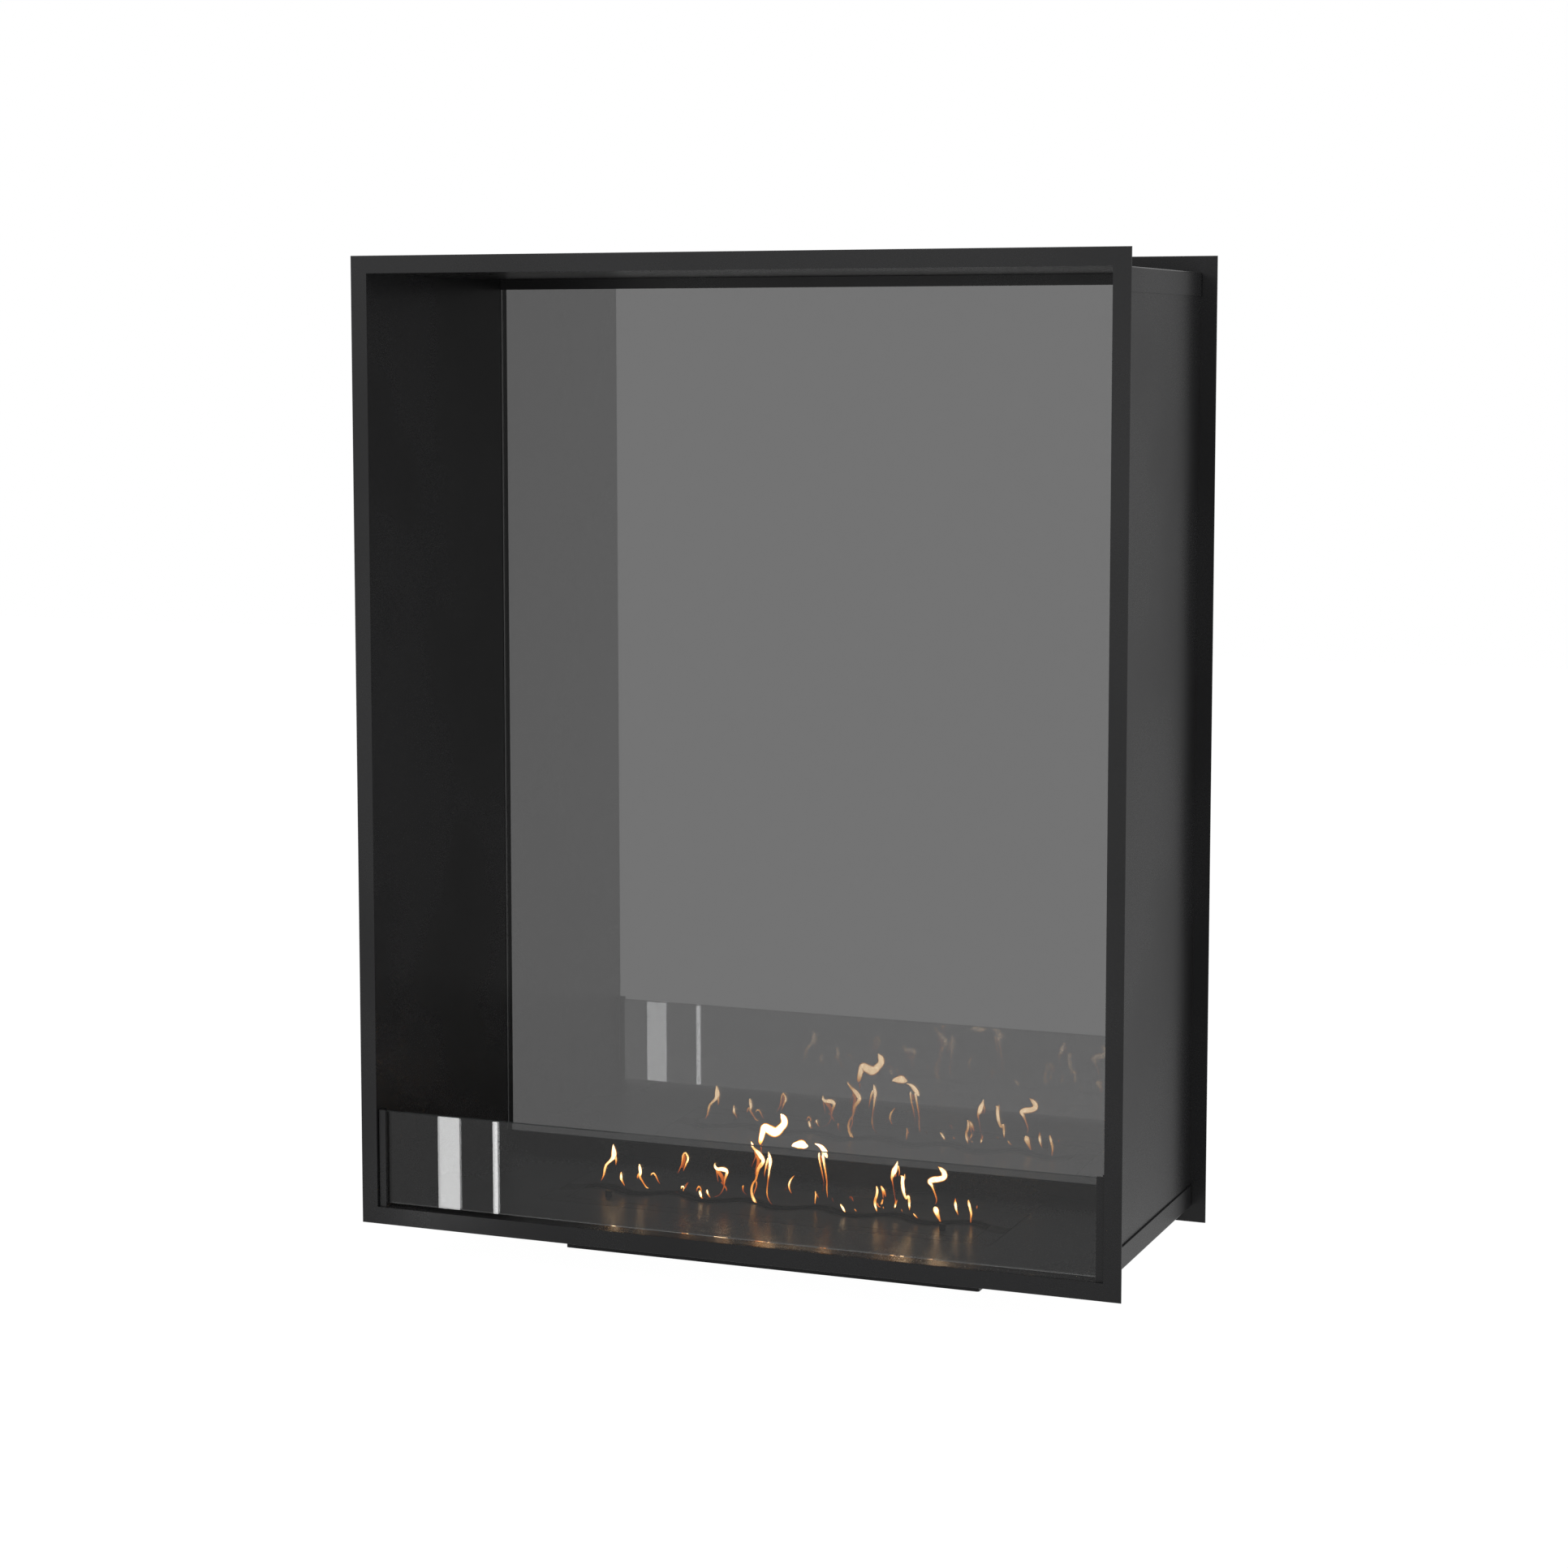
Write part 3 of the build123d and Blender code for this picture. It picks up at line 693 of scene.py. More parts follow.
            (49.8, 102.4, 0.8, 0.4), (50.9, 94.8, 0.4, 0.25), (49.3, 85.4, 0.2, 0.15),
        ],
        [
            (50.1, 131.5, 2, 1), (51.3, 123.9, 1.6, 0.95), (52.9, 115.3, 1.3, 0.8),
            (54.4, 106.7, 1.3, 0.65), (55.5, 98.6, 1, 0.5), (55.5, 89.4, 0.9, 0.65),
            (56.5, 79.3, 0.4, 0.4),
        ],
        [(47.4, 129.3, 1.6, 0.4), (48.2, 120.7, 1.3, 0.35)],
    ),
    (
        4.6,
        [(39.6, 85, 0.7, 0.75), (40.3, 80.3, 1.1, 0.8), (39.6, 74.9, 0.9, 0.7), (39.4, 69.7, 0.5, 0.5)],
        [(41, 81.8, 0.9, 0.5), (43.7, 76.3, 0.5, 0.25)],
    ),
    (
        -2.2,
        [(63.7, 80.9, 0.8, 0.2), (65.3, 76.3, 0.4, 0.2)],
    ),
    (
        -14.2,
        [(78.8, 77.6, 0.9, 0.85), (81.4, 74, 1.6, 1), (83.5, 70.6, 1.4, 1), (85.2, 68.4, 0.5, 0.6)],
    ),
    (
        -14.7,
        [(90.5, 85.5, 0.6, 0.25), (92.1, 88.2, 1, 0.28), (94.1, 85.7, 1.2, 0.28), (95.5, 82.2, 0.4, 0.2)],
        [(96.4, 73.2, 0.9, 0.75), (99, 70.6, 0.6, 0.5)],
    ),
    (
        -2.1,
        [
            (119.6, 100.4, 0.7, 0.85), (120.8, 95.6, 1.7, 0.95), (120, 89, 1.8, 0.85),
            (118.2, 83.4, 1.9, 0.75), (118.1, 78.3, 1.7, 0.95), (119.2, 73.8, 1.3, 0.95),
            (120.5, 69.6, 0.5, 0.5),
        ],
        [(120.1, 80.2, 1, 0.5), (122, 76, 1, 0.5), (125, 75.2, 0.5, 0.4)],
    ),
    (
        2.3,
        [
            (123.8, 100, 0.6, 0.8), (126.1, 96.1, 2.1, 0.95), (128.3, 92, 1.9, 0.6),
            (130.1, 87.1, 0.6, 0.3),
        ],
        [(125.2, 94.7, 1.1, 0.75), (126.1, 88.9, 1, 0.45), (126.5, 84.6, 0.6, 0.3)],
        [(126.8, 84.6, 0.7, 0.6), (125.4, 79.6, 1.6, 0.85), (124.3, 77.8, 0.7, 0.6)],
        [(126.4, 75.1, 0.8, 0.8), (127.7, 72.8, 0.6, 0.5)],
    ),
    (
        5.6,
        [
            (143.5, 130.7, 0.6, 0.9), (141.7, 124.7, 2.3, 1), (139.6, 119.3, 3.9, 1),
            (137.8, 114, 2.9, 0.95), (136.3, 109.6, 1.6, 0.75), (137.5, 103.2, 0.8, 0.4),
            (138.8, 95.8, 0.6, 0.35), (140.1, 87.8, 0.6, 0.3), (141.1, 82.2, 0.8, 0.45),
            (140.7, 76.8, 1.6, 0.95), (139.8, 73.7, 0.7, 0.6),
        ],
        [(144, 124.9, 1.1, 0.9), (145.3, 118, 0.8, 0.65), (144.5, 112.5, 0.5, 0.3)],
        [(141.7, 115.8, 2.4, 0.4), (140.6, 111.6, 1.4, 0.3)],
        [(143.1, 84.6, 0.6, 0.4), (141.7, 79.3, 1, 0.7)],
    ),
    (
        -12.9,
        [
            (153.8, 118.7, 0.8, 0.8), (156.3, 116.8, 2.4, 1), (156.3, 109.8, 2.4, 1),
            (157.2, 102.4, 2.3, 1), (158.9, 96.1, 1.8, 0.9), (161.5, 92.1, 1.7, 0.85),
            (163.6, 95.3, 1.6, 0.95), (164.6, 90.2, 1.7, 0.85), (164.8, 83.8, 1.4, 0.95),
            (165.3, 78.2, 0.6, 0.5),
        ],
        [(158.6, 120.8, 0.6, 0.8), (158.1, 114.3, 1.1, 0.95)],
        [(155.4, 78.8, 0.6, 0.6), (156.8, 75.7, 0.5, 0.4)],
        [(169.9, 74.8, 0.7, 0.8), (172.4, 72.2, 1.1, 0.8), (175.9, 69.3, 0.4, 0.3)],
    ),
    (
        -10.2,
        [
            (199.6, 132.9, 0.5, 0.7), (203, 130.5, 2.3, 0.95), (206.9, 126.1, 3.6, 1),
            (206.7, 120.9, 4, 1), (200.3, 118.1, 4, 1), (193.7, 116.8, 4.3, 1), (189, 114.4, 3.2, 1),
            (191.5, 110.1, 2, 0.95), (193.4, 106, 1.1, 0.8), (195.2, 101.6, 1.1, 0.6),
            (196.9, 96.9, 1.1, 0.55), (197.8, 92.2, 0.8, 0.4), (196, 87, 0.5, 0.3),
        ],
        [
            (195.1, 84.3, 1.7, 0.9), (196.5, 81, 4.4, 1), (198, 76.5, 3.1, 0.9), (200.2, 71.5, 2, 0.7),
            (202.5, 66.9, 0.8, 0.45),
        ],
        [(192.2, 78.3, 0.8, 0.5), (191.7, 76.3, 0.5, 0.3)],
    ),
    (
        1.9,
        [
            (217, 94.5, 0.4, 0.2), (216.8, 90.3, 1.3, 0.8), (217.1, 86.1, 2, 1), (217.9, 81, 1.4, 0.95),
            (219.3, 77.2, 0.8, 0.7), (220.8, 73.8, 0.4, 0.3),
        ],
    ),
    (
        5.6,
        [
            (231.6, 92.4, 0.9, 0.8), (232.5, 87.9, 1.7, 0.95), (233.9, 82.5, 1.7, 0.9),
            (235.3, 76.4, 1.5, 0.85), (235, 71, 1.1, 0.6), (234.7, 65.2, 0.5, 0.35),
        ],
        [(229.3, 73.3, 0.8, 0.35), (229.3, 72, 0.7, 0.3)],
    ),
    (
        3.6,
        [(242.9, 87.3, 0.8, 0.6), (242.9, 83, 0.8, 0.35)],
    ),
]
FLAME_DEPTH = 1.2 * MM  # how far a flame's second and third stroke stand before and behind it
# The light's colour at each heat.
FLAME_HUES = (
    (0.0, "#9A3410"),
    (0.25, "#D9561C"),
    (0.5, "#FF8830"),
    (0.72, "#FFB250"),
    (0.88, "#FFDA94"),
    (1.0, "#FFF4D6"),
)
RIM_STRENGTH = 1.3  # how bright the flame is, where white is 1
CORE_STRENGTH = 9.5
CORE_STEEPNESS = 4.5  # the power by which the light rises from the rim to the core
OPAQUE_HEAT = 0.7  # the heat from which the gas hides what lies behind it
FLAME_STREAK = (3 * MM, 3 * MM, 14 * MM)  # width, depth and height
FLICKER = 0.06  # how much hotter or cooler a streak is
SHELL_BODY = (0.18, 0.3, 0.5, 1.0)  # how much of what lies behind each shell hides, from the rim in
ENDING = 0.05  # the part of a line, at either end, over which it runs out
TIP_WIDTH = 0.4  # the width that is left at the very end


def flame_material():
    """Glowing gas: white-yellow where it is hottest, thinning to a clear orange-red rim.

    The piece's "glow" attribute says how hot each point is, and "body" how much it hides. Gas has
    no surface of its own, so this is light and clearness only, broken up by streaks that rise with
    the draught.
    """
    material, tree, place = new_material("burning_ethanol")
    heat = add_node(tree, "ShaderNodeAttribute", attribute_name="glow").outputs["Fac"]
    hiding = add_node(tree, "ShaderNodeAttribute", attribute_name="body").outputs["Fac"]
    stretch = tuple(1 / length for length in FLAME_STREAK)
    drawn_out = add_node(tree, "ShaderNodeMapping", {"Vector": place, "Scale": stretch})
    streaks = add_node(tree, "ShaderNodeTexNoise", {"Vector": drawn_out, "Scale": 1.0, "Detail": 2.0})
    flicker = add_node(
        tree,
        "ShaderNodeMapRange",
        {"Value": streaks, "From Min": 0.25, "From Max": 0.75, "To Min": -FLICKER, "To Max": FLICKER},
    )
    glow = add_node(tree, "ShaderNodeMath", {0: heat, 1: flicker}, operation="ADD", use_clamp=True)
    hue = add_node(tree, "ShaderNodeValToRGB", {"Fac": glow})
    stops = hue.color_ramp.elements
    for position, _ in FLAME_HUES[1:-1]:
        stops.new(position)
    for stop, (_, colour) in zip(stops, FLAME_HUES):
        stop.color = linear(colour)
    steep = add_node(tree, "ShaderNodeMath", {0: glow, 1: CORE_STEEPNESS}, operation="POWER")
    strength = add_node(
        tree, "ShaderNodeMapRange", {"Value": steep, "To Min": RIM_STRENGTH, "To Max": CORE_STRENGTH}
    )
    light = add_node(tree, "ShaderNodeEmission", {"Color": hue, "Strength": strength})
    seen = add_node(
        tree,
        "ShaderNodeMapRange",
        {"Value": glow, "From Min": 0.0, "From Max": OPAQUE_HEAT},
        interpolation_type="SMOOTHSTEP",
    )
    body = add_node(tree, "ShaderNodeMath", {0: seen, 1: hiding}, operation="MULTIPLY", use_clamp=True)
    clear = add_node(tree, "ShaderNodeBsdfTransparent", {"Color": WHITE})
    gas = add_node(tree, "ShaderNodeMixShader", {0: body, 1: clear, 2: light})
    add_node(tree, "ShaderNodeOutputMaterial", {"Surface": gas})
    return material


def flame_lines():
    """The flames' centre lines: a mesh of edges with a width and a heat at each point."""
    points, edges, widths, heats = [], [], [], []
    for depth, *strokes in FLAMES:
        for number, stroke in enumerate(strokes):
            first = len(points)
            y = depth * MM + (0.0, FLAME_DEPTH, -FLAME_DEPTH)[number % 3]
            for x, z, width, heat in stroke:
                points.append((x * MM, y, z * MM))
                widths.append(width * MM)
                heats.append(heat)
            edges += [(i, i + 1) for i in range(first, len(points) - 1)]
    lines = mesh_object("flame_lines", points, edges=edges)
    for name, values in (("width", widths), ("heat", heats)):
        lines.data.attributes.new(name, "FLOAT", "POINT").data.foreach_set("value", values)
    return lines


def flame_shells():
    """Nodes that swell each line into nested shells of gas, hotter towards the middle."""
    tree, given = geometry_tree(
        "flame_shells",
        {
            "Spacing": "Float",
            "Sides": "Int",
            "Shell Step": "Float",
            "Heat Step": "Float",
            "Thinnest": "Float",
        },
    )
    line = add_node(tree, "GeometryNodeMeshToCurve", {"Mesh": given["Geometry"]})
    smooth = add_node(tree, "GeometryNodeCurveSplineType", {"Curve": line}, spline_type="CATMULL_ROM")
    even = add_node(
        tree, "GeometryNodeResampleCurve", {"Curve": smooth, "Length": given["Spacing"]}, mode="LENGTH"
    )
    ring = add_node(tree, "GeometryNodeCurvePrimitiveCircle", {"Resolution": given["Sides"], "Radius": 1.0})
    width = add_node(tree, "GeometryNodeInputNamedAttribute", {"Name": "width"}, data_type="FLOAT")
    heat = add_node(tree, "GeometryNodeInputNamedAttribute", {"Name": "heat"}, data_type="FLOAT")
    evened = add_node(
        tree,
        "GeometryNodeBlurAttribute",
        {"Value": width, "Iterations": 3, "Weight": 1.0},
        data_type="FLOAT",
    )
    full_width = add_node(tree, "ShaderNodeMath", {0: evened, 1: given["Thinnest"]}, operation="MAXIMUM")
    # Both ends of a line run out thin and fade.
    along = add_node(tree, "GeometryNodeSplineParameter").outputs["Factor"]
    from_middle = add_node(tree, "ShaderNodeMapRange", {"Value": along, "To Min": -1.0, "To Max": 1.0})
    off_middle = add_node(tree, "ShaderNodeMath", {0: from_middle}, operation="ABSOLUTE")
    fading = add_node(
        tree,
        "ShaderNodeMapRange",
        {
            "Value": off_middle,
            "From Min": 1.0,
            "From Max": 1 - 2 * ENDING,
            "To Min": TIP_WIDTH,
            "To Max": 1.0,
        },
        interpolation_type="SMOOTHERSTEP",
    )
    tapered = add_node(tree, "ShaderNodeMath", {0: full_width, 1: fading}, operation="MULTIPLY")
    shells = add_node(tree, "GeometryNodeJoinGeometry")
    for shell, hides in enumerate(SHELL_BODY):
        narrower = add_node(
            tree,
            "ShaderNodeMath",
            {0: given["Shell Step"], 1: float(-shell), 2: 1.0},
            operation="MULTIPLY_ADD",
        )
        tube_width = add_node(tree, "ShaderNodeMath", {0: tapered, 1: narrower}, operation="MULTIPLY")
        cooler = float(shell - len(SHELL_BODY) + 1)
        warmth = add_node(
            tree, "ShaderNodeMath", {0: given["Heat Step"], 1: cooler, 2: heat}, operation="MULTIPLY_ADD"
        )
        thickness = add_node(tree, "ShaderNodeMath", {0: fading, 1: hides}, operation="MULTIPLY")
        # Both are stored on the line, and the tube's points take them over.
        marked = even
        for label, value in (("glow", warmth), ("body", thickness)):
            marked = add_node(
                tree,
                "GeometryNodeStoreNamedAttribute",
                {"Geometry": marked, "Name": label, "Value": value},
                data_type="FLOAT",
                domain="POINT",
            )
        tube = add_node(
            tree,
            "GeometryNodeCurveToMesh",
            {"Curve": marked, "Profile Curve": ring, "Scale": tube_width, "Fill Caps": True},
        )
        tree.links.new(tube.outputs["Mesh"], shells.inputs["Geometry"])
    rounded = add_node(tree, "GeometryNodeSetShadeSmooth", {"Geometry": shells})
    end_geometry(tree, rounded, given["Material"])
    return tree


flames = made_real(
    "flames",
    flame_lines(),
    flame_shells(),
    {
        "Spacing": 1.2 * MM,
        "Sides": 10,
        "Shell Step": 0.11,
        "Heat Step": 0.17,
        "Thinnest": 0.4 * MM,
        "Material": flame_material(),
    },
)
flames.visible_shadow = False
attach(flames, "burner")
# With the slot shut the flames die down.
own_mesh(flames)

# ---------------------------------------------------------------- ceramic wool
# The wool that holds the fuel: soft fibre packed level under its perforated sheet, with loose
# fibres that stand up in the sheet's holes.
WOOL_CELL = 3.5 * MM  # mesh size of the wool's upper face
WOOL_CORNER = 3.0 * MM
HOLE_PITCH = 13.0 * MM
HOLE_ROWS = 5
HOLE_COLUMNS = 37
ROOT_DEPTH = 0.5 * MM  # how far under the wool's top a loose fibre starts
# A loose fibre rises and then bends over, by these shares of its length.
FIBRE_RISE = 0.6
FIBRE_BEND = 0.8
FIBRE_LEAN = 0.5  # radians, at most
FIBRE_SIZES = (0.5, 1.2)  # the shortest and the longest, as shares of the length given


def rounded_in(x, y, half_length, half_width, radius):
    """A point of a rectangle, pulled in where the rectangle's corner is rounded off."""
    over_x = abs(x) - (half_length - radius)
    over_y = abs(y) - (half_width - radius)
    if over_x <= 0 or over_y <= 0:
        return x, y
    reach = max(over_x, over_y) / (over_x ** 2 + over_y ** 2) ** 0.5
    new_x = half_length - radius + over_x * reach
    new_y = half_width - radius + over_y * reach
    return (new_x if x > 0 else -new_x), (new_y if y > 0 else -new_y)


def packed_block(low, high):
    """A closed block round the middle, with a finely divided top and rounded upright corners."""
    half_length, half_width = high[0], high[1]
    columns = round(2 * half_length / WOOL_CELL)
    rows = round(2 * half_width / WOOL_CELL)
    points = []
    for row in range(rows + 1):
        for column in range(columns + 1):
            x = half_length * (2 * column / columns - 1)
            y = half_width * (2 * row / rows - 1)
            x, y = rounded_in(x, y, half_length, half_width, WOOL_CORNER)
            points.append((x, y, high[2]))
    wide = columns + 1
    faces = [
        (first, first + 1, first + 1 + wide, first + wide)
        for first in (row * wide + column for row in range(rows) for column in range(columns))
    ]
    rim = list(range(columns))
    rim += [row * wide + columns for row in range(rows)]
    rim += [rows * wide + column for column in range(columns, 0, -1)]
    rim += [row * wide for row in range(rows, 0, -1)]
    first_foot = len(points)
    points += [(points[i][0], points[i][1], low[2]) for i in rim]
    count = len(rim)
    for step in range(count):
        after = (step + 1) % count
        faces.append((rim[after], rim[step], first_foot + step, first_foot + after))
    faces.append(tuple(first_foot + step for step in range(count - 1, -1, -1)))
    return mesh_object("packed_block", points, faces=faces)


def matted_wool():
    """Nodes that sink the block's upper face unevenly, as matted fibre lies."""
    tree, given = geometry_tree(
        "matted_wool", {"Upper Face": "Float", "Mat Size": "Float", "Sink": "Float"}
    )
    where = add_node(tree, "GeometryNodeInputPosition").outputs["Position"]
    height = add_node(tree, "ShaderNodeSeparateXYZ", {"Vector": where}).outputs["Z"]
    on_top = add_node(
        tree,
        "FunctionNodeCompare",
        {"A": height, "B": given["Upper Face"]},
        data_type="FLOAT",
        operation="GREATER_EQUAL",
    )
    per_metre = add_node(tree, "ShaderNodeMath", {0: 1.0, 1: given["Mat Size"]}, operation="DIVIDE")
    mats = add_node(tree, "ShaderNodeTexNoise", {"Vector": where, "Scale": per_metre, "Detail": 3.0})
    sunk = add_node(tree, "ShaderNodeMath", {0: mats, 1: given["Sink"]}, operation="MULTIPLY")
    down = add_node(tree, "ShaderNodeMath", {0: sunk, 1: -1.0}, operation="MULTIPLY")
    offset = add_node(tree, "ShaderNodeCombineXYZ", {"Z": down})
    matted = add_node(
        tree,
        "GeometryNodeSetPosition",
        {"Geometry": given["Geometry"], "Selection": on_top, "Offset": offset},
    )
    end_geometry(tree, matted, given["Material"])
    return tree


def standing_fibres():
    """Nodes that set a few bent fibres in each hole of the perforated sheet."""
    tree, given = geometry_tree(
        "standing_fibres",
        {"Fibres": "Int", "Spread": "Float", "Length": "Float", "Thickness": "Float", "Seed": "Int"},
    )
    holes = add_node(tree, "GeometryNodeMeshToPoints", {"Mesh": given["Geometry"]})
    roots = add_node(
        tree,
        "GeometryNodeDuplicateElements",
        {"Geometry": holes, "Amount": given["Fibres"]},
        domain="POINT",
    )
    least = add_node(tree, "ShaderNodeMath", {0: given["Spread"], 1: -1.0}, operation="MULTIPLY")
    low = add_node(tree, "ShaderNodeCombineXYZ", {"X": least, "Y": least})
    high = add_node(tree, "ShaderNodeCombineXYZ", {"X": given["Spread"], "Y": given["Spread"]})
    stray = add_node(
        tree,
        "FunctionNodeRandomValue",
        {"Min": low, "Max": high, "Seed": given["Seed"]},
        data_type="FLOAT_VECTOR",
    )
    strewn = add_node(tree, "GeometryNodeSetPosition", {"Geometry": roots, "Offset": stray})
    up = add_node(tree, "ShaderNodeMath", {0: given["Length"], 1: FIBRE_RISE}, operation="MULTIPLY")
    out = add_node(tree, "ShaderNodeMath", {0: given["Length"], 1: FIBRE_BEND}, operation="MULTIPLY")
    knee = add_node(tree, "ShaderNodeCombineXYZ", {"Z": up})
    tip = add_node(tree, "ShaderNodeCombineXYZ", {"X": out, "Z": up})
    bent = add_node(
        tree,
        "GeometryNodeCurveQuadraticBezier",
        {"Resolution": 4, "Start": (0.0, 0.0, 0.0), "Middle": knee, "End": tip},
    )
    ring = add_node(
        tree, "GeometryNodeCurvePrimitiveCircle", {"Resolution": 3, "Radius": given["Thickness"]}
    )
    fibre = add_node(
        tree, "GeometryNodeCurveToMesh", {"Curve": bent, "Profile Curve": ring, "Fill Caps": True}
    )
    turn = add_node(
        tree,
        "FunctionNodeRandomValue",
        {
            "Min": (-FIBRE_LEAN, -FIBRE_LEAN, 0.0),
            "Max": (FIBRE_LEAN, FIBRE_LEAN, 2 * pi),
            "Seed": given["Seed"],
        },
        data_type="FLOAT_VECTOR",
    )
    # A random number's limits are the sockets 2 and 3 of its node.
    growth = add_node(
        tree,
        "FunctionNodeRandomValue",
        {2: FIBRE_SIZES[0], 3: FIBRE_SIZES[1], "Seed": given["Seed"]},
        data_type="FLOAT",
    )
    placed = add_node(
        tree,
        "GeometryNodeInstanceOnPoints",
        {"Points": strewn, "Instance": fibre, "Rotation": turn, "Scale": growth},
    )
    end_geometry(tree, placed, given["Material"])
    return tree


def hole_middles(level):
    """One point in the middle of each hole of the perforated sheet."""
    across = [HOLE_PITCH * (column - (HOLE_COLUMNS - 1) / 2) for column in range(HOLE_COLUMNS)]
    deep = [HOLE_PITCH * (row - (HOLE_ROWS - 1) / 2) for row in range(HOLE_ROWS)]
    return mesh_object("hole_middles", [(x, y, level) for y in deep for x in across])


wool_low, wool_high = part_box("ceramic_wool")
wool_filling = made_real(
    "wool_filling",
    packed_block(wool_low, wool_high),
    matted_wool(),
    {
        "Upper Face": wool_high[2] - HAIR,
        "Mat Size": 6.0 * MM,
        "Sink": 1.0 * MM,
        "Material": ceramic_wool,
    },
)
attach(wool_filling, "burner")
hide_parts("ceramic_wool")
wool_fibres = made_real(
    "wool_fibres",
    hole_middles(wool_high[2] - ROOT_DEPTH),
    standing_fibres(),
    {
        "Fibres": 7,
        "Spread": 1.7 * MM,
        "Length": 2.6 * MM,
        "Thickness": 0.1 * MM,
        "Seed": 4,
        "Material": ceramic_wool,
    },
)
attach(wool_fibres, "burner")

# ---------------------------------------------------------------- camera
# Worked out from the photograph's perspective: the frames' corners and the tank, in metres.
CAMERA_PLACE = Vector((1.4387, -3.6288, 1.0775))
CAMERA_TURN = radians(21.626)  # to the left of +Y
# The next three are in the photograph's pixels.
PHOTO_SIDE = 1932
PHOTO_FOCAL = 4095.9
HORIZON_ROW = 438.68
LENS_SHIFT = 0.06  # share of the frame; the rest of the drop is a tilt, so that other views fit
SENSOR = 36.0  # millimetres


def photo_camera():
    """A camera where the photographer's stood, turned, tilted and shifted to frame the part alike."""
    data = bpy.data.cameras.new("photo_camera")
    data.sensor_width = SENSOR
    data.lens = PHOTO_FOCAL / PHOTO_SIDE * SENSOR
    data.shift_y = -LENS_SHIFT
    drop = PHOTO_SIDE / 2 - HORIZON_ROW - LENS_SHIFT * PHOTO_SIDE
    tilt = atan(drop / PHOTO_FOCAL)
    camera = bpy.data.objects.new("photo_camera", data)
    turn = Matrix.Rotation(CAMERA_TURN, 4, "Z") @ Matrix.Rotation(pi / 2 - tilt, 4, "X")
    camera.matrix_world = Matrix.Translation(CAMERA_PLACE) @ turn
    bpy.context.scene.collection.objects.link(camera)
    bpy.context.scene.camera = camera


photo_camera()

# ---------------------------------------------------------------- studio
# How bright the white studio is: as light on the part, and in a mirrored ray above and below the
# end of the photographer's white sweep. The camera sees it as 1.
AMBIENT = 0.8
MIRRORED = 0.65
MIRRORED_LOW = 0.2
SWEEP_END = 0.288  # slope, downwards to the front
SWEEP_BLUR = 0.006
# Parts of the mirrored studio that are dimmer or brighter than the rest: how many times as bright,
# and from and to which X, Y and Z of a ray's direction each comes in.
MIRRORED_PARTS = (
    # The corner at the back on the right was in shade.
    (0.42, {"X": (0.0, 0.2), "Y": (0.2, 0.6)}),
    # Farther right it was lighter again.
    (1.3, {"X": (0.33, 0.42)}),
    # The sweep's floor behind the part was lit from above: near by, and farther right.
    (2.2, {"X": (0.1, 0.2), "Y": (0.2, 0.6), "Z": (-0.25, -0.28)}),
    (1.5, {"X": (0.44, 0.5), "Y": (0.2, 0.6), "Z": (-0.17, -0.26)}),
)
FLOOR_SIDE = 16.0
# What the camera sees of the floor is mostly this glow; the rest is its paint, with the shadow.
FLOOR_GLOW = 1.05
FLOOR_GLOW_SHARE = 0.94


def white_studio():
    """A white world that lights the part more softly than it looks.

    The camera sees it white, directly and through glass. In a mirrored ray it is a little dimmer,
    with parts that differ, and in front much dimmer below the line where the photographer's white
    sweep ended.
    """
    world = bpy.data.worlds.new("white_studio")
    bpy.context.scene.world = world
    world.use_nodes = True
    tree = world.node_tree
    tree.nodes.clear()
    path = add_node(tree, "ShaderNodeLightPath").outputs
    mirrored_ray = add_node(
        tree, "ShaderNodeMath", {0: path["Glossy Depth"], 1: 0.5}, operation="GREATER_THAN"
    )
    scattered_ray = add_node(
        tree, "ShaderNodeMath", {0: path["Diffuse Depth"], 1: 0.5}, operation="GREATER_THAN"
    )
    unmirrored = add_node(
        tree, "ShaderNodeMapRange", {"Value": scattered_ray, "To Min": 1.0, "To Max": AMBIENT}
    )
    direction = add_node(tree, "ShaderNodeTexCoord").outputs["Generated"]
    parts = add_node(tree, "ShaderNodeSeparateXYZ", {"Vector": direction}).outputs
    # Above the sweep's end this is positive; towards the back, too.
    above = add_node(
        tree, "ShaderNodeMath", {0: parts["Y"], 1: -SWEEP_END, 2: parts["Z"]}, operation="MULTIPLY_ADD"
    )
    lit = add_node(tree, "ShaderNodeMath", {0: parts["Y"], 1: above}, operation="MAXIMUM")
    mirrored = add_node(
        tree,
        "ShaderNodeMapRange",
        {
            "Value": lit,
            "From Min": -SWEEP_BLUR,
            "From Max": SWEEP_BLUR,
            "To Min": MIRRORED_LOW,
            "To Max": MIRRORED,
        },
    )
    for times, reach in MIRRORED_PARTS:
        inside = 1.0
        for axis, (start, end) in reach.items():
            coming_in = add_node(
                tree,
                "ShaderNodeMapRange",
                {"Value": parts[axis], "From Min": start, "From Max": end},
                interpolation_type="SMOOTHSTEP",
            )
            inside = add_node(tree, "ShaderNodeMath", {0: inside, 1: coming_in}, operation="MULTIPLY")
        change = add_node(tree, "ShaderNodeMapRange", {"Value": inside, "To Min": 1.0, "To Max": times})
        mirrored = add_node(tree, "ShaderNodeMath", {0: mirrored, 1: change}, operation="MULTIPLY")
    strength = add_node(
        tree, "ShaderNodeMapRange", {"Value": mirrored_ray, "To Min": unmirrored, "To Max": mirrored}
    )
    white = add_node(tree, "ShaderNodeBackground", {"Color": WHITE, "Strength": strength})
    add_node(tree, "ShaderNodeOutputWorld", {"Surface": white})


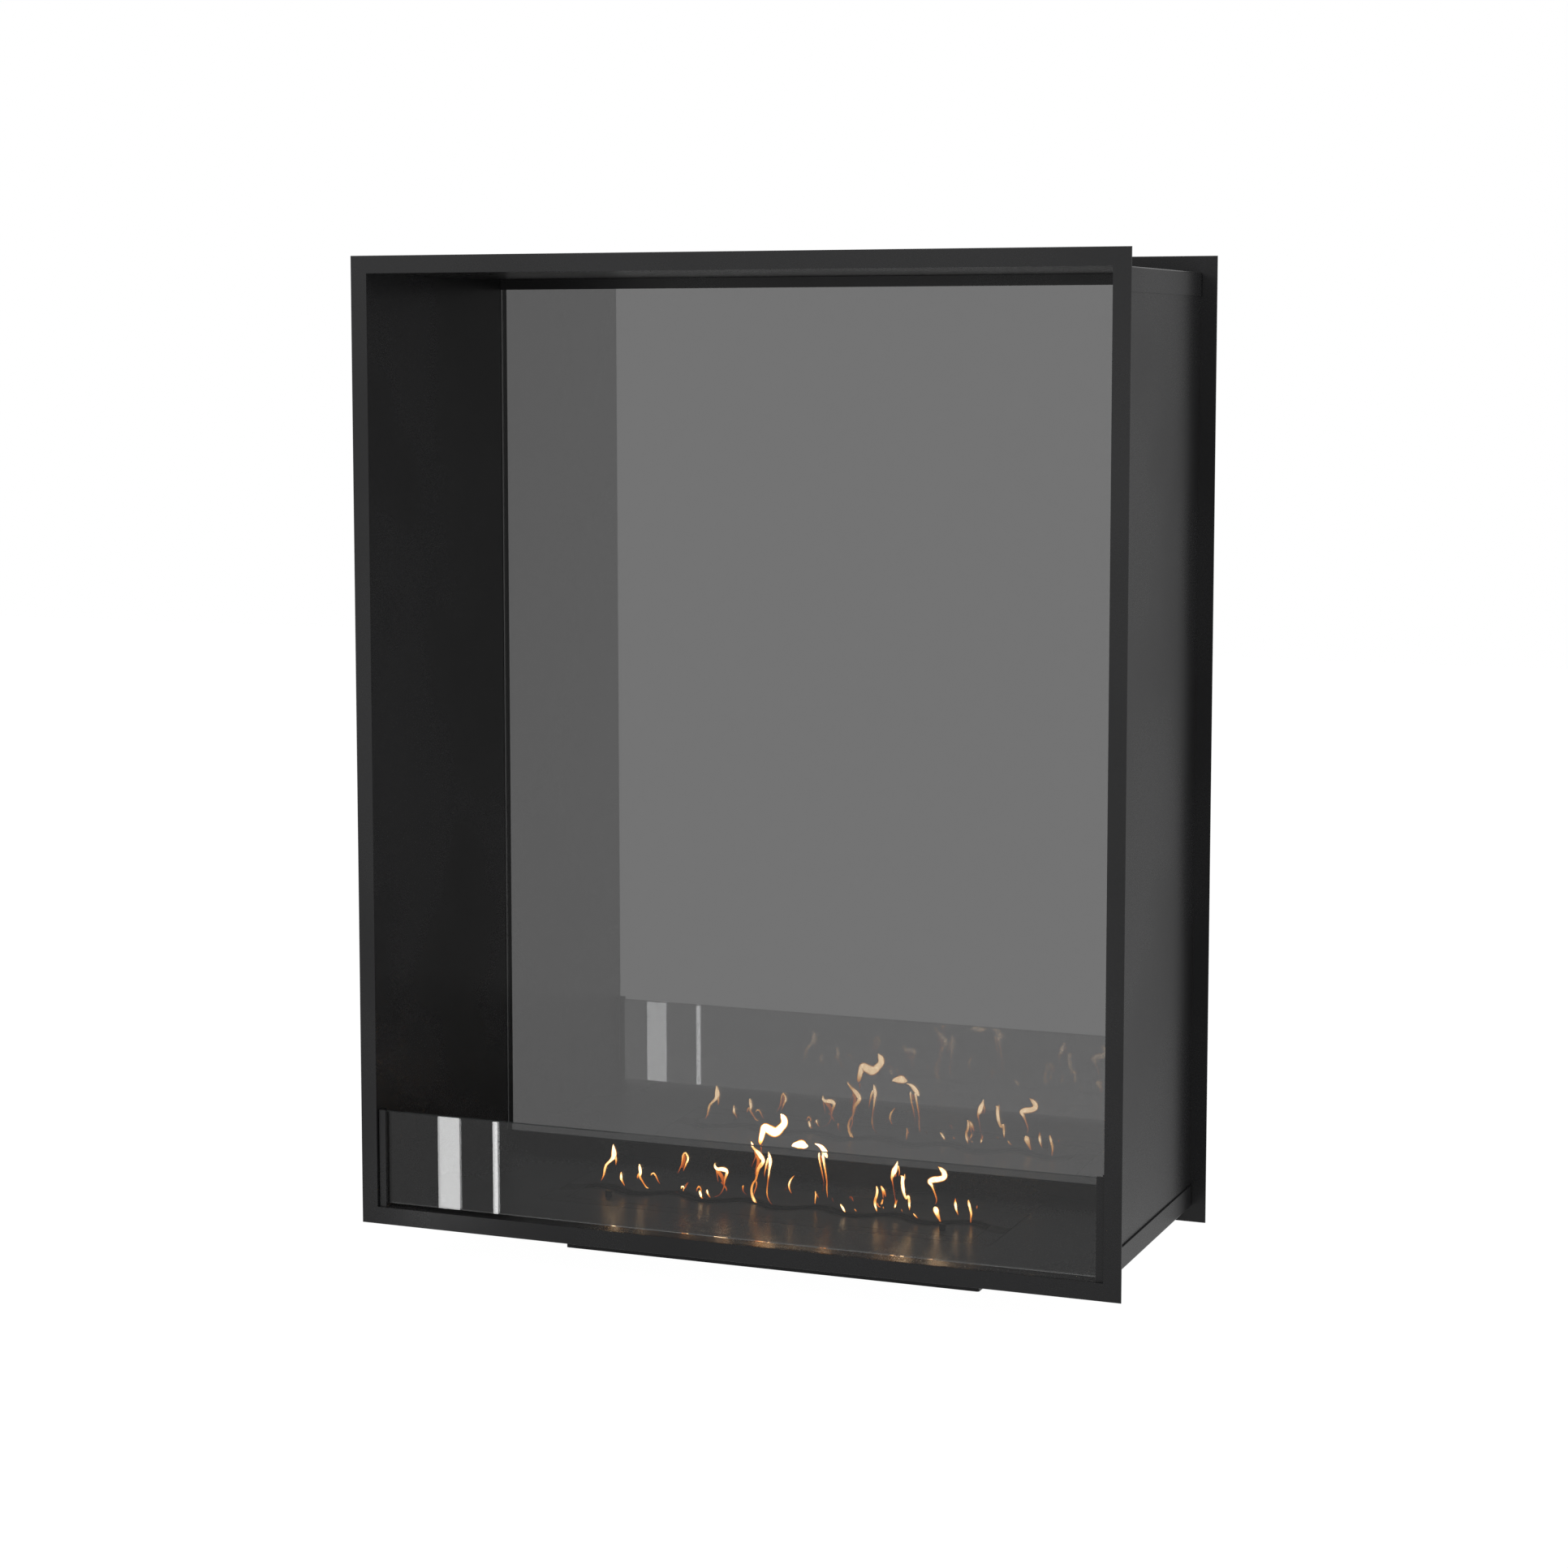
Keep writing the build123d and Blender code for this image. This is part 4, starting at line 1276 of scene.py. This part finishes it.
def pale_floor():
    """A pale floor that looks as white as the backdrop, but keeps the part's soft shadow.

    Mirrored rays and rays through glass pass it and see the white world.
    """
    material, tree, _ = new_material("pale_studio_floor")
    paint = add_node(tree, "ShaderNodeBsdfDiffuse", {"Color": linear("#EFEFEE"), "Roughness": 0.5})
    glow = add_node(tree, "ShaderNodeEmission", {"Color": WHITE, "Strength": FLOOR_GLOW})
    camera_ray = add_node(tree, "ShaderNodeLightPath").outputs["Is Camera Ray"]
    share = add_node(tree, "ShaderNodeMath", {0: camera_ray, 1: FLOOR_GLOW_SHARE}, operation="MULTIPLY")
    mix = add_node(tree, "ShaderNodeMixShader", {0: share, 1: paint, 2: glow})
    add_node(tree, "ShaderNodeOutputMaterial", {"Surface": mix})
    half = FLOOR_SIDE / 2
    corners = [(-half, -half, 0.0), (half, -half, 0.0), (half, half, 0.0), (-half, half, 0.0)]
    floor = mesh_object("studio_floor", corners, faces=[(0, 1, 2, 3)])
    floor.data.materials.append(material)
    floor.visible_glossy = False
    floor.visible_transmission = False


def softbox(name, place, aim, size, power):
    """A rectangular lamp at a place, aimed at a point; the camera doesn't see it."""
    data = bpy.data.lights.new(name, "AREA")
    data.shape = "RECTANGLE"
    data.size, data.size_y = size
    data.energy = power
    lamp = bpy.data.objects.new(name, data)
    lamp.location = place
    lamp.rotation_euler = (Vector(aim) - Vector(place)).to_track_quat("-Z", "Y").to_euler()
    lamp.visible_camera = False
    bpy.context.scene.collection.objects.link(lamp)
    return lamp


PART_MIDDLE = (0.0, 0.0, 0.6)
LOW_LEFT = (-0.45, 0.0, 0.25)
# The lamps that light the part: name, place, aim, size and watts.
SOFTBOXES = (
    ("key_softbox", (-1.6, -2.6, 2.6), PART_MIDDLE, (1.6, 1.6), 30.0),
    ("right_softbox", (2.8, -0.6, 1.6), PART_MIDDLE, (1.4, 1.8), 16.0),
    ("fill_softbox", (1.5, -2.6, 0.4), LOW_LEFT, (1.2, 0.8), 14.0),
)
# The upright strip lights that the panes mirror: name, left and right edge, and how bright each is
# where white is 1. Edges are in millimetres, as are the height and the place that they share.
STRIP_LIGHTS = (
    ("wide_strip_light", -581.5, -549.5, 2.8),
    ("narrow_strip_light", -500.5, -493.5, 3.6),
)
STRIP_FOOT = -70.0
STRIP_TOP = 80.0
STRIP_Y = -570.0
LAMP_WATTS = 4  # what a square metre of lamp needs to look as bright as white


def strip_lamp(name, left, right, brightness):
    """An upright strip light that only shows as a mirror image in the panes."""
    width = (right - left) * MM
    height = (STRIP_TOP - STRIP_FOOT) * MM
    middle = Vector(((left + right) / 2, STRIP_Y, (STRIP_FOOT + STRIP_TOP) / 2)) * MM
    power = brightness * LAMP_WATTS * width * height
    lamp = softbox(name, middle, middle + Vector((0.0, 1.0, 0.0)), (width, height), power)
    lamp.visible_diffuse = False


white_studio()
pale_floor()
for lamp_data in SOFTBOXES:
    lamp = softbox(*lamp_data)
    lamp.visible_glossy = False
    lamp.visible_transmission = False
for strip_data in STRIP_LIGHTS:
    strip_lamp(*strip_data)
